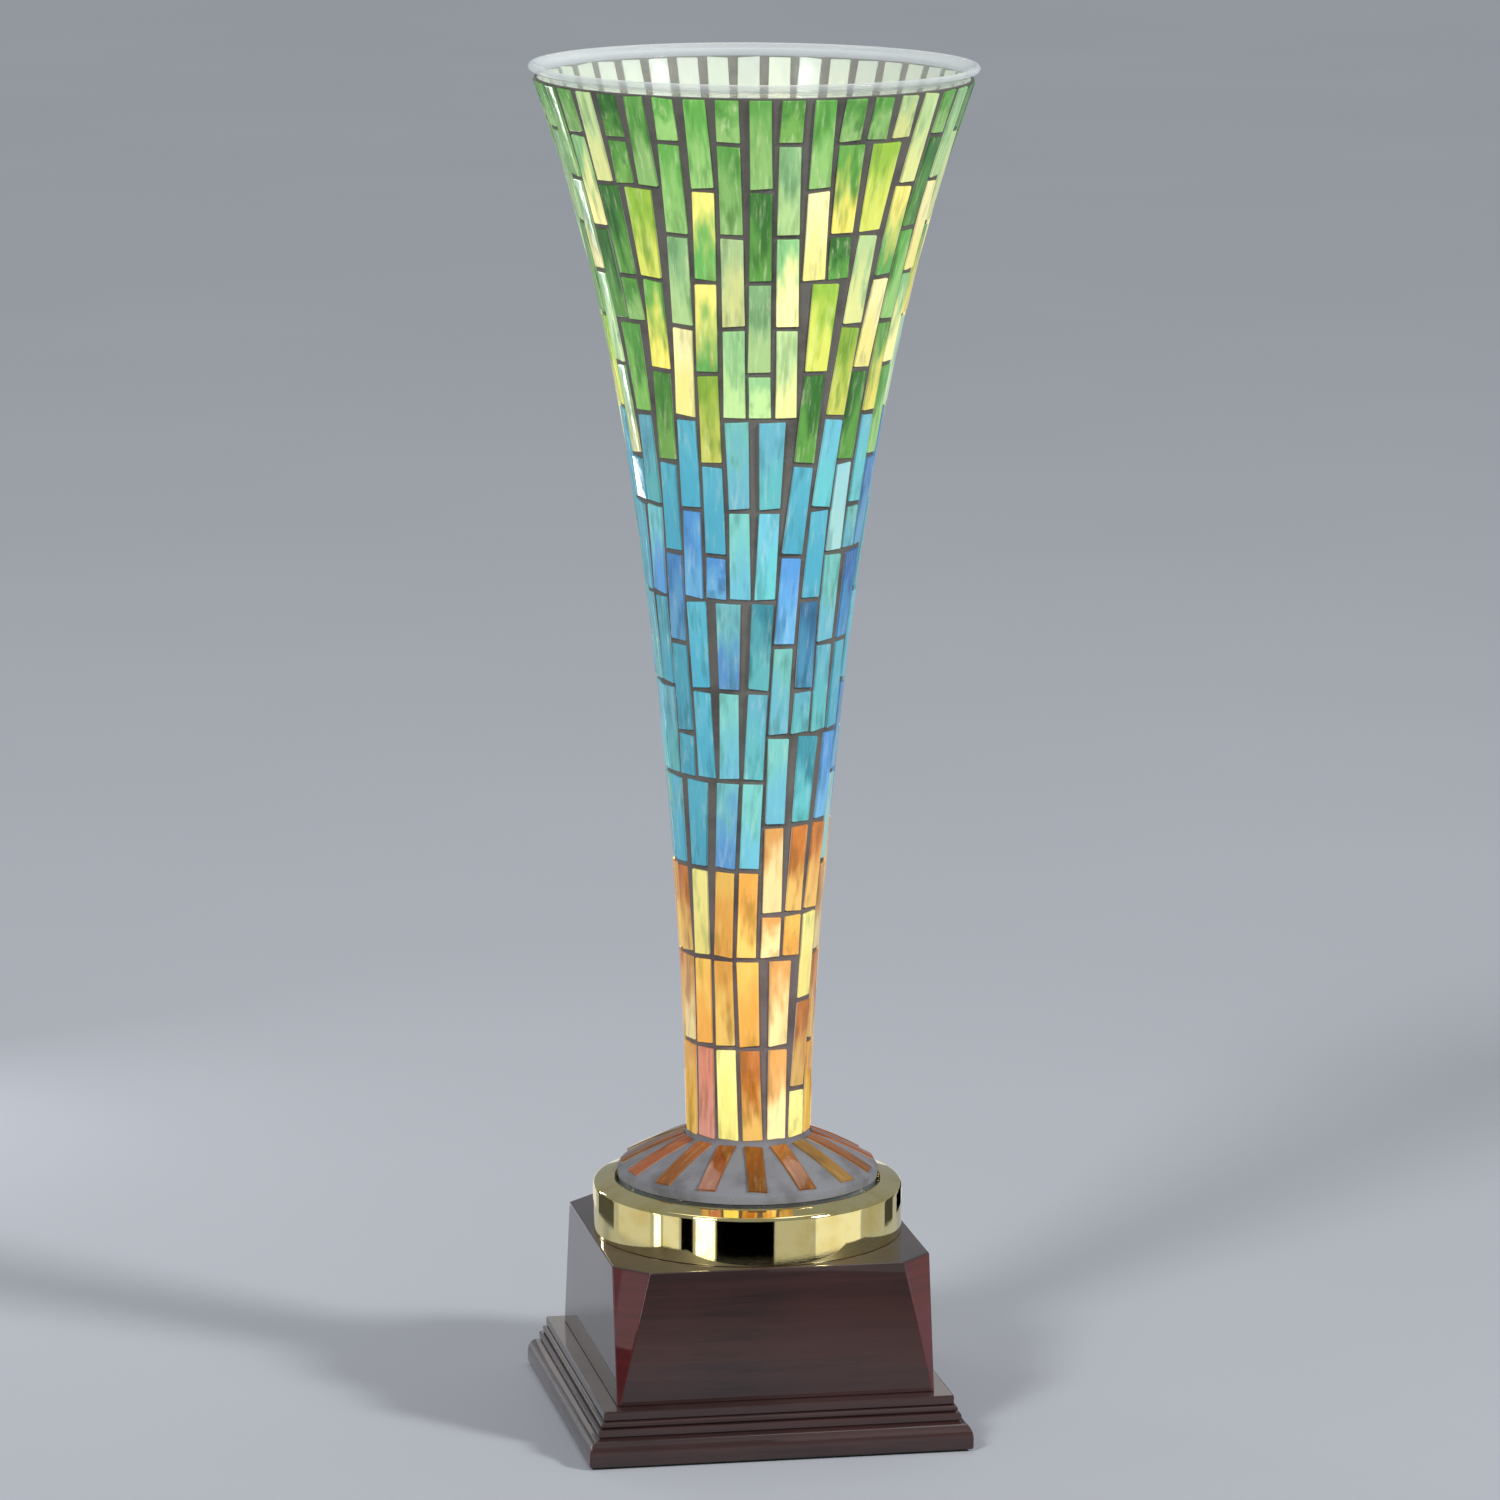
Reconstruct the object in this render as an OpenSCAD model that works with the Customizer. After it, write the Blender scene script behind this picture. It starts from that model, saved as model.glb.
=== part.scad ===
// Mosaic glass table lamp: a flared glass vessel covered with cut glass strips, standing in a
// brass collar on a square lacquered base, with a small screw-in bulb inside as an uplighter.
// +Z is up, the front faces -Y, and the origin is the centre of the underside. Millimetres.

/* [Overall] */
// Height from the table to the glass lip
total_h = 430; // [425:1:435]
// Width of the square plinth at its foot
plinth_w = 122; // [120:1:124]
// Radius of the glass lip
lip_r = 69.8; // [69:0.1:71]

/* [Wooden base] */
// Thickness of the felt under the base
felt_t = 0.8; // [0.6:0.1:1]
// Height of the plinth's top face
plinth_top = 17.1; // [16.5:0.1:18]
// Half the width of the plinth's top face
plinth_top_half = 55.7; // [55:0.1:56]
// Half the width of the base block
block_half = 50.6; // [50:0.1:51]
// Height of the base block's top face
block_top = 59.6; // [59:0.1:61]
// How far the corner facets cut in at the top of the block
facet_top = 10.2; // [8:0.2:12]
// How far the corner facets cut in at the foot of the block
facet_foot = 0.8; // [0.4:0.2:2]
// Radius of the wiring space inside the block
cavity_r = 30; // [28:0.5:31]

/* [Brass collar] */
// Outer radius of the collar
collar_r = 49.1; // [48.6:0.1:49.6]
// Height of the collar's outer edge
collar_edge_z = 75.3; // [74.5:0.1:76]
// Height of the collar's inner edge
collar_lip_z = 76.9; // [76.5:0.1:77.2]
// Radius of the recess that the glass foot stands in
collar_seat_r = 42; // [41.9:0.1:42.2]

/* [Glass vessel] */
// Height of the waist, where the trunk meets the foot
waist_z = 91; // [90:0.5:92]
// Radius of the glass foot
foot_r = 41.5; // [41:0.1:41.7]
// Thickness of the blown glass
glass_t = 2.2; // [2:0.1:2.5]

/* [Mosaic] */
// Width of a cut strip
strip_w = 7.2; // [6.8:0.1:7.3]
// Thickness of a cut strip
strip_t = 1.8; // [1.5:0.1:2]
// Joint between the ends of two strips
strip_joint = 1.6; // [1.2:0.1:2]
// Least joint between the sides of two strips, which are cut narrower where they crowd
side_joint = 0.6; // [0.6:0.1:1.2]
// Thickness of the grout bed behind the strips
bed_t = 0.6; // [0.5:0.1:0.8]
// Columns of strips at the lip
columns_top = 42; // [42:1:42]
// Columns of strips at the waist, and strips on the foot
columns_waist = 15; // [15:1:15]
// Height where green strips give way to blue
green_z = 312; // [305:1:320]
// Height where blue strips give way to amber
blue_z = 186; // [180:1:192]

/* [Lamp fittings] */
// Outer radius of the threaded lamp pipe
pipe_r = 5; // [5:0.1:5]
// Height of the bulb's lower contact
bulb_z = 300; // [290:1:304]
// Radius of the bulb's opal glass
bulb_r = 22.5; // [20:0.5:23]

/* [Hidden] */

$fn = 96;
// Gap between parts that touch, so that neither cuts into the other
gap = 0.05;
// Overlap that makes a cut pass clean through a face
past = 1;

// ---- Shape of the mosaic surface ----

// Radii that shape the trunk, from the waist to the lip
trunk_radii = [19.6, 20, 28.5, 32.7, 44.2, lip_r + 0.2];

function choose5(i) = [1, 5, 10, 10, 5, 1][i];

// Radius of the mosaic's outer face at a height
function trunk_r(z) = let (u = (z - waist_z) / (total_h - waist_z))
    [for (i = [0 : 5]) choose5(i) * pow(u, i) * pow(1 - u, 5 - i)] * trunk_radii;

// Lean of the trunk's wall away from upright, in degrees
function trunk_lean(z) = atan2(trunk_r(z + 0.5) - trunk_r(z - 0.5), 1);

// Point on the trunk's section at a depth under the mosaic's outer face
function trunk_point(z, depth) = let (lean = trunk_lean(z))
    [trunk_r(z) - depth * cos(lean), z + depth * sin(lean)];

// Height of the foot's mosaic face at a radius
foot_slope = 0.352;
foot_dip = 0.006;
function foot_top(r) = let (d = r - trunk_radii[0]) waist_z - foot_slope * d - foot_dip * d * d;

skin_t = strip_t + bed_t;
glass_depth = skin_t + gap;
inner_depth = glass_depth + glass_t;

// ---- Columns of the mosaic ----

// Strips start and end on grid lines half a strip apart, counted down from the lip
mosaic_top = 425.8;
mosaic_foot = 93.6;
grid_lines = 23;
half_step = (mosaic_top - mosaic_foot) / grid_lines;
// How strongly the column count follows the flare
count_power = 1.6;
// Step that scatters the merges round the trunk
merge_step = 16;
// Column that the first merge starts from
merge_start = 29;
// Grid lines over which neighbours close up after a merge
close_up = 3.5;

merges = columns_top - columns_waist;
function grid_z(i) = mosaic_top - i * half_step;

// Column that the k-th merge ends; column 0 never ends
function merged_column(k) = 1 + (k * merge_step + merge_start) % (columns_top - 1);

// Grid line of the k-th merge: where the count should have fallen by k
function merge_line(k) = let (u = pow((merges - k + 0.5) / merges, 1 / count_power))
    max(1, round((1 - u) * grid_lines));

// Grid line on which a column ends
last_line = [for (c = [0 : columns_top - 1])
    let (hits = [for (k = [1 : merges]) if (merged_column(k) == c) merge_line(k)])
    len(hits) > 0 ? hits[0] : grid_lines + 10];

// Share of a column's width that is left on a grid line
function share(c, i) = max(0, min(1, 1 - (i - last_line[c]) / close_up));

function sum(list, from, to) = to < from ? 0 : list[from] + sum(list, from + 1, to);

shares = [for (i = [0 : grid_lines]) [for (c = [0 : columns_top - 1]) share(c, i)]];
totals = [for (i = [0 : grid_lines]) sum(shares[i], 0, columns_top - 1)];
edges = [for (i = [0 : grid_lines]) [for (c = [0 : columns_top]) sum(shares[i], 0, c - 1)]];

// Turn of the whole ring of columns that lets a merge draw in both neighbours alike
turns = [for (i = [0 : grid_lines]) let (shift = [for (c = [0 : columns_top - 1])
    (1 - shares[i][c]) * (0.5 - c / columns_top) * 360 / totals[min(i, last_line[c])]])
    sum(shift, 0, columns_top - 1)];

// Next column that still stands on a grid line
function next_column(c, i) = c + 1 >= columns_top ? columns_top
    : last_line[c + 1] > i ? c + 1 : next_column(c + 1, i);

// Angle of a column's centre line on grid line i, with the merges up to line j made
function column_angle(c, i, j) = whole_turn + turns[i]
    + 180 * (edges[i][c] + edges[i][next_column(c, j)]) / totals[i];
whole_turn = -18;

// Columns that end into column c
function merge_lines_into(c) = [for (m = [c + 1 : 1 : columns_top - 1])
    if (last_line[m] < grid_lines && m < next_column(c, last_line[m])) last_line[m]];

// Grid line where a strip that starts on line i ends
function strip_end(c, i) = let (
    first = i == 0 && c % 2 == 1 ? 1 : i + 2,
    stops = [for (m = concat(merge_lines_into(c), [last_line[c], grid_lines])) if (m > i) m])
    min(first, min(stops));

function column_strips(c, i) = i >= min(last_line[c], grid_lines) ? []
    : let (j = strip_end(c, i)) concat([[c, i, j]], column_strips(c, j));

strips = [for (c = [0 : columns_top - 1]) each column_strips(c, 0)];

function strip_mid_z(s) = (grid_z(s[1]) + grid_z(s[2])) / 2;

// ---- Heights that the fittings are built from ----

plinth_foot = felt_t;
recess_t = 2.2;
cover_t = 2;
cavity_top = 51;
seat_z = 71.3;
collar_in_r = 36;
seal_t = 1;
glass_foot_z = seat_z + seal_t;
collar_screw_r = 43;
washer_t = 1.5;
nut_h = 6;
nut_r = 9.8;
pipe_bottom = 42;
cup_z = bulb_z - 34;
pipe_top = cup_z + 8;
clamp_z = 118;
clamp_h = 16;
socket_r = 12.8;
shell_r = 7.05;
cord_z = 34;

// ---- Shared shapes ----

module ring(outer, inner, h) {
    difference() {
        cylinder(r = outer, h = h);
        translate([0, 0, -past]) cylinder(r = inner, h = h + 2 * past);
    }
}

module hex_nut(r, bore, h) {
    difference() {
        cylinder(r = r, h = h, $fn = 6);
        translate([0, 0, -past]) cylinder(r = bore, h = h + 2 * past);
    }
}

// Countersunk screw with its flat head on top, pointing down
module countersunk_screw(r, head_r, length) {
    head_h = head_r - r;
    difference() {
        union() {
            translate([0, 0, -head_h]) cylinder(r1 = r, r2 = head_r, h = head_h);
            translate([0, 0, -length]) cylinder(r = r, h = length - head_h / 2);
        }
        for (a = [0, 90]) rotate([0, 0, a]) translate([-head_r * 0.6, -0.4, -1])
            cube([head_r * 1.2, 0.8, 1 + past]);
    }
}

// Hole that such a screw lies in, a little larger all round
module countersunk_hole(r, head_r, length) {
    head_h = head_r - r;
    translate([0, 0, -head_h - gap])
        cylinder(r1 = r + gap, r2 = head_r + 2 * gap, h = head_h + gap);
    translate([0, 0, -gap]) cylinder(r = head_r + 2 * gap, h = past);
    translate([0, 0, -length - 0.5]) cylinder(r = r + gap, h = length);
}

// Bent wire: a tube along a smooth curve through hand-placed points
function smooth_point(p, i, t) = let (
    a = p[max(i - 1, 0)], b = p[i], c = p[i + 1], d = p[min(i + 2, len(p) - 1)])
    0.5 * (2 * b + t * (c - a) + t * t * (2 * a - 5 * b + 4 * c - d)
        + t * t * t * (3 * b - a - 3 * c + d));

function smooth_path(p, steps) = concat(
    [for (i = [0 : len(p) - 2]) each [for (k = [0 : steps - 1]) smooth_point(p, i, k / steps)]],
    [p[len(p) - 1]]);

module wire(route, r) {
    sides = 8;
    path = smooth_path(route, 4);
    last = len(path) - 1;
    points = [for (i = [0 : last]) let (
        along = path[min(i + 1, last)] - path[max(i - 1, 0)],
        t = along / norm(along),
        u0 = [1, 0, 0] - t[0] * t,
        u = u0 / norm(u0),
        v = cross(t, u))
        each [for (k = [0 : sides - 1]) path[i] + r * (cos(360 * k / sides) * u
            + sin(360 * k / sides) * v)]];
    walls = [for (i = [0 : last - 1]) each [for (k = [0 : sides - 1])
        let (a = i * sides + k, b = i * sides + (k + 1) % sides)
        [a, a + sides, b + sides, b]]];
    ends = [[for (k = [0 : sides - 1]) k], [for (k = [sides - 1 : -1 : 0]) last * sides + k]];
    polyhedron(points, concat(walls, ends));
}

// ---- Wooden base ----

module felt_pad() {
    half = plinth_w / 2 - 1.5;
    color("#2b3a30") translate([-half, -half, 0]) cube([2 * half, 2 * half, felt_t]);
}

cover_half = 46;
cover_screw_at = 41;

module bottom_cover() {
    half = cover_half - 0.3;
    color("#6b5a48") difference() {
        translate([-half, -half, plinth_foot]) cube([2 * half, 2 * half, cover_t]);
        at_corners(cover_screw_at) translate([0, 0, plinth_foot]) mirror([0, 0, 1])
            countersunk_hole(1.5, 3, 10);
    }
}

module at_corners(reach) {
    for (x = [-1, 1]) for (y = [-1, 1]) translate([x * reach, y * reach, 0]) children();
}

module cover_screws() {
    color("#b8b8b0") at_corners(cover_screw_at) translate([0, 0, plinth_foot]) mirror([0, 0, 1])
        countersunk_screw(1.5, 3, 10);
}

// Half-width and height of each point of the plinth's moulded edge, from its foot up
bead_r = 0.85;
ogee_h = 4.8;
plinth_edge = concat(
    [[plinth_w / 2 - 0.5, plinth_foot], [plinth_w / 2, plinth_foot + 0.5]],
    // ogee: a round nose below, a hollow above
    [for (k = [0 : 6]) [58 + 3 * pow(cos(k * 15), 0.9), 4 + ogee_h * sin(k * 15)]],
    // square fillet
    [for (k = [0 : 4]) [57.2 + 0.5 * sin(45 * k), 9.2 + 0.65 * k]],
    // small bead between two quirks
    [for (k = [0 : 6]) [55.9 + bead_r * sin(30 * k), 11.9 + bead_r * (1 - cos(30 * k))]],
    [[55.2, 13.9], [plinth_top_half, 14.2], [plinth_top_half, plinth_top - 0.4],
     [plinth_top_half - 0.4, plinth_top]]);

module plinth_section() {
    polygon(concat(plinth_edge, [for (k = [len(plinth_edge) - 1 : -1 : 0])
        [-plinth_edge[k][0], plinth_edge[k][1]]]));
}

block_screw_at = [41, 12];

module at_block_screws(z) {
    for (x = [-1, 1]) for (y = [-1, 1])
        translate([x * block_screw_at[0], y * block_screw_at[1], z]) children();
}

module plinth() {
    color("#3a1a1a") difference() {
        both_ways() translate([0, 0, -plinth_w / 2]) linear_extrude(plinth_w) plinth_section();
        cylinder(r = cavity_r + 4, h = plinth_top + past);
        translate([-cover_half, -cover_half, plinth_foot - past])
            cube([2 * cover_half, 2 * cover_half, recess_t + past]);
        at_block_screws(plinth_foot + recess_t) mirror([0, 0, 1]) countersunk_hole(2, 4, 32);
        at_corners(cover_screw_at) translate([0, 0, plinth_foot]) cylinder(r = 1.5 + gap, h = 11);
    }
}

// The moulded section run along Y and along X; where both runs meet is the mitred square
module both_ways() {
    intersection() {
        rotate([90, 0, 0]) children();
        rotate([90, 0, 90]) children();
    }
}

module block_screws() {
    color("#b8a060") at_block_screws(plinth_foot + recess_t) mirror([0, 0, 1])
        countersunk_screw(2, 4, 30);
}

module corner_facets() {
    h = block_top - plinth_top;
    reach_foot = (2 * block_half - facet_foot) / sqrt(2);
    reach_top = (2 * block_half - facet_top) / sqrt(2);
    lean = atan2(reach_foot - reach_top, h);
    for (a = [45 : 90 : 315]) rotate([0, 0, a]) translate([reach_foot, 0, plinth_top])
        rotate([0, -lean, 0]) translate([0, -30, -10]) cube([30, 60, h + 30]);
}

module at_collar_screws() {
    for (a = [45 : 90 : 315]) rotate([0, 0, a]) translate([collar_screw_r, 0, 0]) children();
}

module base_block() {
    head_z = 44;
    color("#35191a") difference() {
        translate([-block_half, -block_half, plinth_top])
            cube([2 * block_half, 2 * block_half, block_top - plinth_top]);
        corner_facets();
        translate([0, 0, plinth_top - past])
            cylinder(r = cavity_r, h = cavity_top - plinth_top + past);
        cylinder(r = pipe_r + gap, h = block_top + past);
        at_collar_screws() translate([0, 0, plinth_top - past])
            cylinder(r = 4.5, h = head_z - plinth_top + past);
        at_collar_screws() cylinder(r = 2 + gap, h = block_top + past);
        at_block_screws(plinth_top - past) cylinder(r = 2 + gap, h = 17.5);
        translate([0, block_half + past, cord_z]) rotate([90, 0, 0]) cylinder(r = 5, h = 30);
        translate([0, terminal_y, cavity_top - past]) cylinder(r = 1.5 + gap, h = 6 + past);
    }
}

// Flanged bush that lines the cord hole in the back of the block
module cord_bush() {
    flange_t = 1.6;
    color("#20201f") translate([0, block_half, cord_z]) rotate([90, 0, 0]) difference() {
        union() {
            translate([0, 0, -flange_t]) cylinder(r = 7, h = flange_t);
            cylinder(r = 5 - gap, h = 14);
        }
        translate([0, 0, -flange_t - past]) cylinder(r = 3.3, h = 20);
    }
}

// ---- Wiring in the base ----

terminal_y = 18.5;
terminal_h = 13;
terminal_bottom = cavity_top - terminal_h;
pole_x = 6;
lead_entry_z = terminal_bottom + 6;

module terminal_block() {
    color("#e8e4d8") difference() {
        translate([-11, terminal_y - 7, terminal_bottom]) cube([22, 14, terminal_h]);
        for (x = [-pole_x, pole_x]) {
            translate([x, terminal_y + 8, lead_entry_z]) rotate([90, 0, 0]) cylinder(r = 1.8, h = 16);
            for (y = [-4, 4]) translate([x, terminal_y + y, terminal_bottom - past])
                cylinder(r = 1.5, h = 5 + past);
        }
        translate([0, terminal_y, terminal_bottom - past]) cylinder(r = 1.5 + gap, h = 20);
        translate([0, terminal_y, terminal_bottom - past]) cylinder(r = 3, h = 4 + past);
    }
}

module terminal_screws() {
    color("#c8c8c0") for (x = [-pole_x, pole_x]) for (y = [-4, 4])
        translate([x, terminal_y + y, terminal_bottom]) difference() {
            cylinder(r = 1.5 - gap, h = 4);
            translate([-2, -0.3, -past]) cube([4, 0.6, past + 0.7]);
        }
}

module terminal_fixing() {
    color("#c8c8c0") translate([0, terminal_y, terminal_bottom + 4]) {
        difference() {
            translate([0, 0, -1.8]) cylinder(r = 2.8, h = 1.8);
            translate([-3, -0.35, -1.8 - past]) cube([6, 0.7, past + 0.8]);
        }
        cylinder(r = 1.5, h = 14);
    }
}

lead_r = 1.1;
lead_spread = 1.6;

// One insulated conductor, from its terminal down under the pipe, up it and into the socket
module lead(side) {
    wire([[side * pole_x, terminal_y - 5, lead_entry_z], [side * pole_x, 10, lead_entry_z - 1],
        [side * 5, 4, 37], [side * 3, 1, 36], [side * lead_spread, 0, 41],
        [side * lead_spread, 0, 60], [side * lead_spread, 0, 120], [side * lead_spread, 0, 180],
        [side * lead_spread, 0, cup_z - 10], [side * lead_spread, 0, cup_z + 6],
        [side * 3.5, 0, cup_z + 12], [side * 5, 0, cup_z + 18]], lead_r);
}

module lead_live() {
    color("#6a3a1c") lead(1);
}

module lead_neutral() {
    color("#2f62a8") lead(-1);
}

// ---- Lamp pipe and its nuts ----

module lamp_pipe() {
    color("#c9a24a") translate([0, 0, pipe_bottom]) ring(pipe_r, 3.6, pipe_top - pipe_bottom);
}

module pipe_washer(r, z) {
    color("#b9b9b4") translate([0, 0, z]) ring(r, pipe_r + gap, washer_t);
}

module pipe_nut(z) {
    color("#b9b9b4") translate([0, 0, z]) hex_nut(nut_r, pipe_r + gap, nut_h - 1);
}

module lower_washer() {
    pipe_washer(11, cavity_top - washer_t);
}

module lower_nut() {
    pipe_nut(cavity_top - washer_t - nut_h + 1);
}

module upper_washer() {
    pipe_washer(14, block_top);
}

module upper_nut() {
    pipe_nut(block_top + washer_t);
}

// ---- Brass collar ----

module collar_section() {
    arris = 1.2;
    fine_arris = 0.4;
    polygon(concat(
        [[collar_in_r, block_top], [collar_r - fine_arris, block_top],
         [collar_r, block_top + fine_arris]],
        [for (a = [0 : 15 : 75]) [collar_r - arris + arris * cos(a),
            collar_edge_z - arris + arris * sin(a)]],
        [for (a = [75 : 35 : 180]) [collar_seat_r + fine_arris + fine_arris * cos(a),
            collar_lip_z - fine_arris + fine_arris * sin(a)]],
        [[collar_seat_r, seat_z], [collar_in_r, seat_z]]));
}

module collar() {
    color("#d9b64c") difference() {
        rotate_extrude() collar_section();
        at_collar_screws() translate([0, 0, block_top - past]) cylinder(r = 2 + gap, h = 10.4 + past);
    }
}

module collar_screws() {
    head_z = 44;
    color("#b9b9b4") at_collar_screws() translate([0, 0, head_z]) {
        cylinder(r = 2, h = 25);
        difference() {
            translate([0, 0, -2.4]) cylinder(r = 3.9, h = 2.4);
            for (a = [0, 90]) rotate([0, 0, a]) translate([-2, -0.4, -2.4 - past])
                cube([4, 0.8, 1.2 + past]);
        }
    }
}

module foot_seal() {
    color("#1d1d1d") translate([0, 0, seat_z]) ring(41.6, 37.2, seal_t);
}

// ---- Glass vessel ----

lip_round = 1.5;
edge_z = 77.4;
trunk_steps = 28;

trunk_low = waist_z + 2;
trunk_high = mosaic_top - 0.2;
trunk_heights = [for (k = [0 : trunk_steps]) trunk_low + k * (trunk_high - trunk_low) / trunk_steps];

module vessel_section() {
    outside = concat(
        [[foot_r - 0.4, glass_foot_z], [foot_r - 0.4, edge_z]],
        [for (r = [39 : -3 : 21]) [r, foot_top(r) - skin_t]],
        [[18.6, waist_z - 1.6]],
        [for (z = trunk_heights) trunk_point(z, glass_depth)]);
    inside = concat(
        [for (k = [trunk_steps : -1 : 0]) trunk_point(trunk_heights[k], inner_depth)],
        [[15.6, waist_z - 2.6], [17.4, waist_z - 5]],
        [for (r = [20 : 4 : 36]) [r, foot_top(r) - skin_t - glass_t - 1]],
        [[37.4, edge_z - 2], [37.4, glass_foot_z]]);
    polygon(concat(outside, inside));
    // rounded, fire-polished lip
    translate([lip_r - lip_round, total_h - lip_round]) circle(r = lip_round, $fn = 32);
    // thickening of the wall up into the lip
    polygon([trunk_point(trunk_high, glass_depth), [lip_r - 0.5, total_h - 2 * lip_round + 0.4],
        [lip_r - lip_round, total_h - 0.1], [lip_r - 2.4, total_h - 0.3],
        trunk_point(trunk_high, inner_depth)]);
}

module glass_vessel() {
    color([0.86, 0.93, 0.9, 0.45]) rotate_extrude() vessel_section();
}

// ---- Mosaic ----

module grout_section() {
    low = mosaic_foot - 0.2;
    high = mosaic_top - 0.5;
    heights = [for (k = [0 : trunk_steps]) low + k * (high - low) / trunk_steps];
    polygon(concat(
        [for (z = heights) trunk_point(z, strip_t + 0.1)],
        [for (k = [trunk_steps : -1 : 0]) trunk_point(heights[k], skin_t)]));
}

module grout_bed() {
    color("#5b5754") {
        rotate_extrude() grout_section();
        rotate_extrude() foot_grout_section();
    }
}

module foot_grout_section() {
    outer = [for (r = [21.5 : 2.5 : 39]) [r, foot_top(r) - strip_t - 0.3]];
    waist = [[17.35, trunk_low + 0.2], [18, trunk_low + 0.2], [19.4, waist_z - 1.4]];
    rim = [[foot_r, edge_z + 1.8], [foot_r, edge_z], [foot_r - 0.3, edge_z]];
    under = [for (r = [39 : -3 : 21]) [r, foot_top(r) - skin_t + gap]];
    polygon(concat(waist, outer, rim, under, [[18.9, waist_z - 1.5]]));
}

// One cut strip, lying on the bed between two grid lines and following its column's line
module strip(s) {
    z1 = grid_z(s[1]);
    z2 = grid_z(s[2]);
    a1 = column_angle(s[0], s[1], s[1]);
    a2 = column_angle(s[0], s[2], s[1]);
    top = trunk_point(z1, strip_t);
    foot = trunk_point(z2, strip_t);
    mid = (top + foot) / 2;
    rise = norm(top - foot);
    swing = mid[0] * (a1 - a2) * PI / 180;
    length = norm([rise, swing]) - strip_joint;
    width = min(strip_w, 2 * PI * foot[0] / totals[s[2]] - side_joint);
    rotate([0, 0, (a1 + a2) / 2]) translate([mid[0] + gap, 0, mid[1]])
        rotate([0, atan2(top[0] - foot[0], top[1] - foot[1]), 0])
        rotate([-atan2(swing, rise), 0, 0])
        translate([0, -width / 2, -length / 2]) cube([strip_t, width, length]);
}

module green_strips() {
    color("#57a84a") for (s = strips) if (strip_mid_z(s) > green_z) strip(s);
}

module blue_strips() {
    color("#4f9cc0") for (s = strips)
        if (strip_mid_z(s) <= green_z && strip_mid_z(s) > blue_z) strip(s);
}

module amber_strips() {
    color("#e2a84c") for (s = strips) if (strip_mid_z(s) <= blue_z) strip(s);
}

foot_strip_w = 6.2;
foot_strip_in = 20.2;
foot_strip_out = 40.2;

module foot_strips() {
    inner = [foot_strip_in, foot_top(foot_strip_in)];
    outer = [foot_strip_out, foot_top(foot_strip_out)];
    slope = atan2(inner[1] - outer[1], outer[0] - inner[0]);
    color("#8a5320") for (k = [0 : columns_waist - 1])
        rotate([0, 0, column_angle_at_foot(k)]) translate([inner[0], 0, inner[1]])
            rotate([0, slope, 0]) translate([0, -foot_strip_w / 2, -strip_t + 0.5])
            cube([norm(outer - inner), foot_strip_w, strip_t]);
}

standing = [for (c = [0 : columns_top - 1]) if (last_line[c] > grid_lines) c];

function column_angle_at_foot(k) = column_angle(standing[k], grid_lines, grid_lines);

// ---- Clamp that holds the glass down ----

module clamp_bush() {
    r_low = trunk_point(clamp_z, inner_depth)[0] - 0.25;
    r_high = trunk_point(clamp_z + clamp_h, inner_depth)[0] - 0.25;
    color("#26262a") translate([0, 0, clamp_z]) difference() {
        cylinder(r1 = r_low, r2 = r_high, h = clamp_h);
        translate([0, 0, -past]) cylinder(r = pipe_r + gap, h = clamp_h + 2 * past);
    }
}

module clamp_washer() {
    pipe_washer(14, clamp_z + clamp_h);
}

module clamp_nut() {
    pipe_nut(clamp_z + clamp_h + washer_t);
}

// ---- Lampholder ----

cup_wall = 1.2;
insulator_z = cup_z + 18;

module socket_nut() {
    pipe_nut(cup_z - nut_h + 1);
}

module socket_cup() {
    color("#c9a24a") translate([0, 0, cup_z]) difference() {
        cylinder(r = socket_r + cup_wall, h = 16);
        translate([0, 0, cup_wall]) cylinder(r = socket_r + gap, h = 16);
        translate([0, 0, -past]) cylinder(r = pipe_r + gap, h = 4);
    }
}

module socket_body() {
    color("#efece2") translate([0, 0, cup_z + 6]) difference() {
        cylinder(r = socket_r, h = 45);
        translate([0, 0, 12]) cylinder(r = 8.6, h = 45);
        translate([0, 0, -past]) cylinder(r = 7.2, h = 20);
    }
}

module socket_insulator() {
    color("#ddd8cc") translate([0, 0, insulator_z]) difference() {
        cylinder(r = 8.5, h = 9);
        for (x = [-5, 5]) translate([x, 0, -past]) cylinder(r = 1.3, h = 6 + past);
        for (x = [-5, 5]) translate([x, 9, 3]) rotate([90, 0, 0]) cylinder(r = 1.25, h = 7.6);
    }
}

module socket_screws() {
    color("#c8c8c0") for (x = [-5, 5]) translate([x, 5.6, insulator_z + 3]) rotate([90, 0, 0])
        cylinder(r = 1.2, h = 4.2);
}

module socket_contact() {
    contact_z = insulator_z + 9;
    color("#c98a4a") translate([0, 0, contact_z]) {
        translate([-2, -5, 0]) cube([4, 10, 0.5]);
        cylinder(r1 = 2.6, r2 = 2, h = bulb_z - contact_z - gap);
    }
}

// Threaded brass shell that the bulb screws into
module socket_shell() {
    color("#d8b860") translate([0, 0, insulator_z + 9]) difference() {
        cylinder(r = shell_r + 0.6, h = 21);
        translate([0, 0, 0.5]) cylinder(r = shell_r, h = 22);
        translate([0, 0, -past]) cylinder(r = 6.2, h = 3);
    }
}

// ---- Bulb ----

cap_r = shell_r - 0.06;
cap_z = bulb_z + 2.4;
cap_h = 18;
neck_r = 8.2;
globe_z = bulb_z + 57.5;
envelope_t = 0.7;

module bulb_contact() {
    color("#c4c4c0") translate([0, 0, bulb_z]) cylinder(r1 = 1.6, r2 = 2.4, h = 1);
}

module bulb_insulator() {
    color("#1a1a1a") translate([0, 0, bulb_z + 1]) cylinder(r1 = 2.8, r2 = 5.4, h = cap_z - bulb_z - 1);
}

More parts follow.
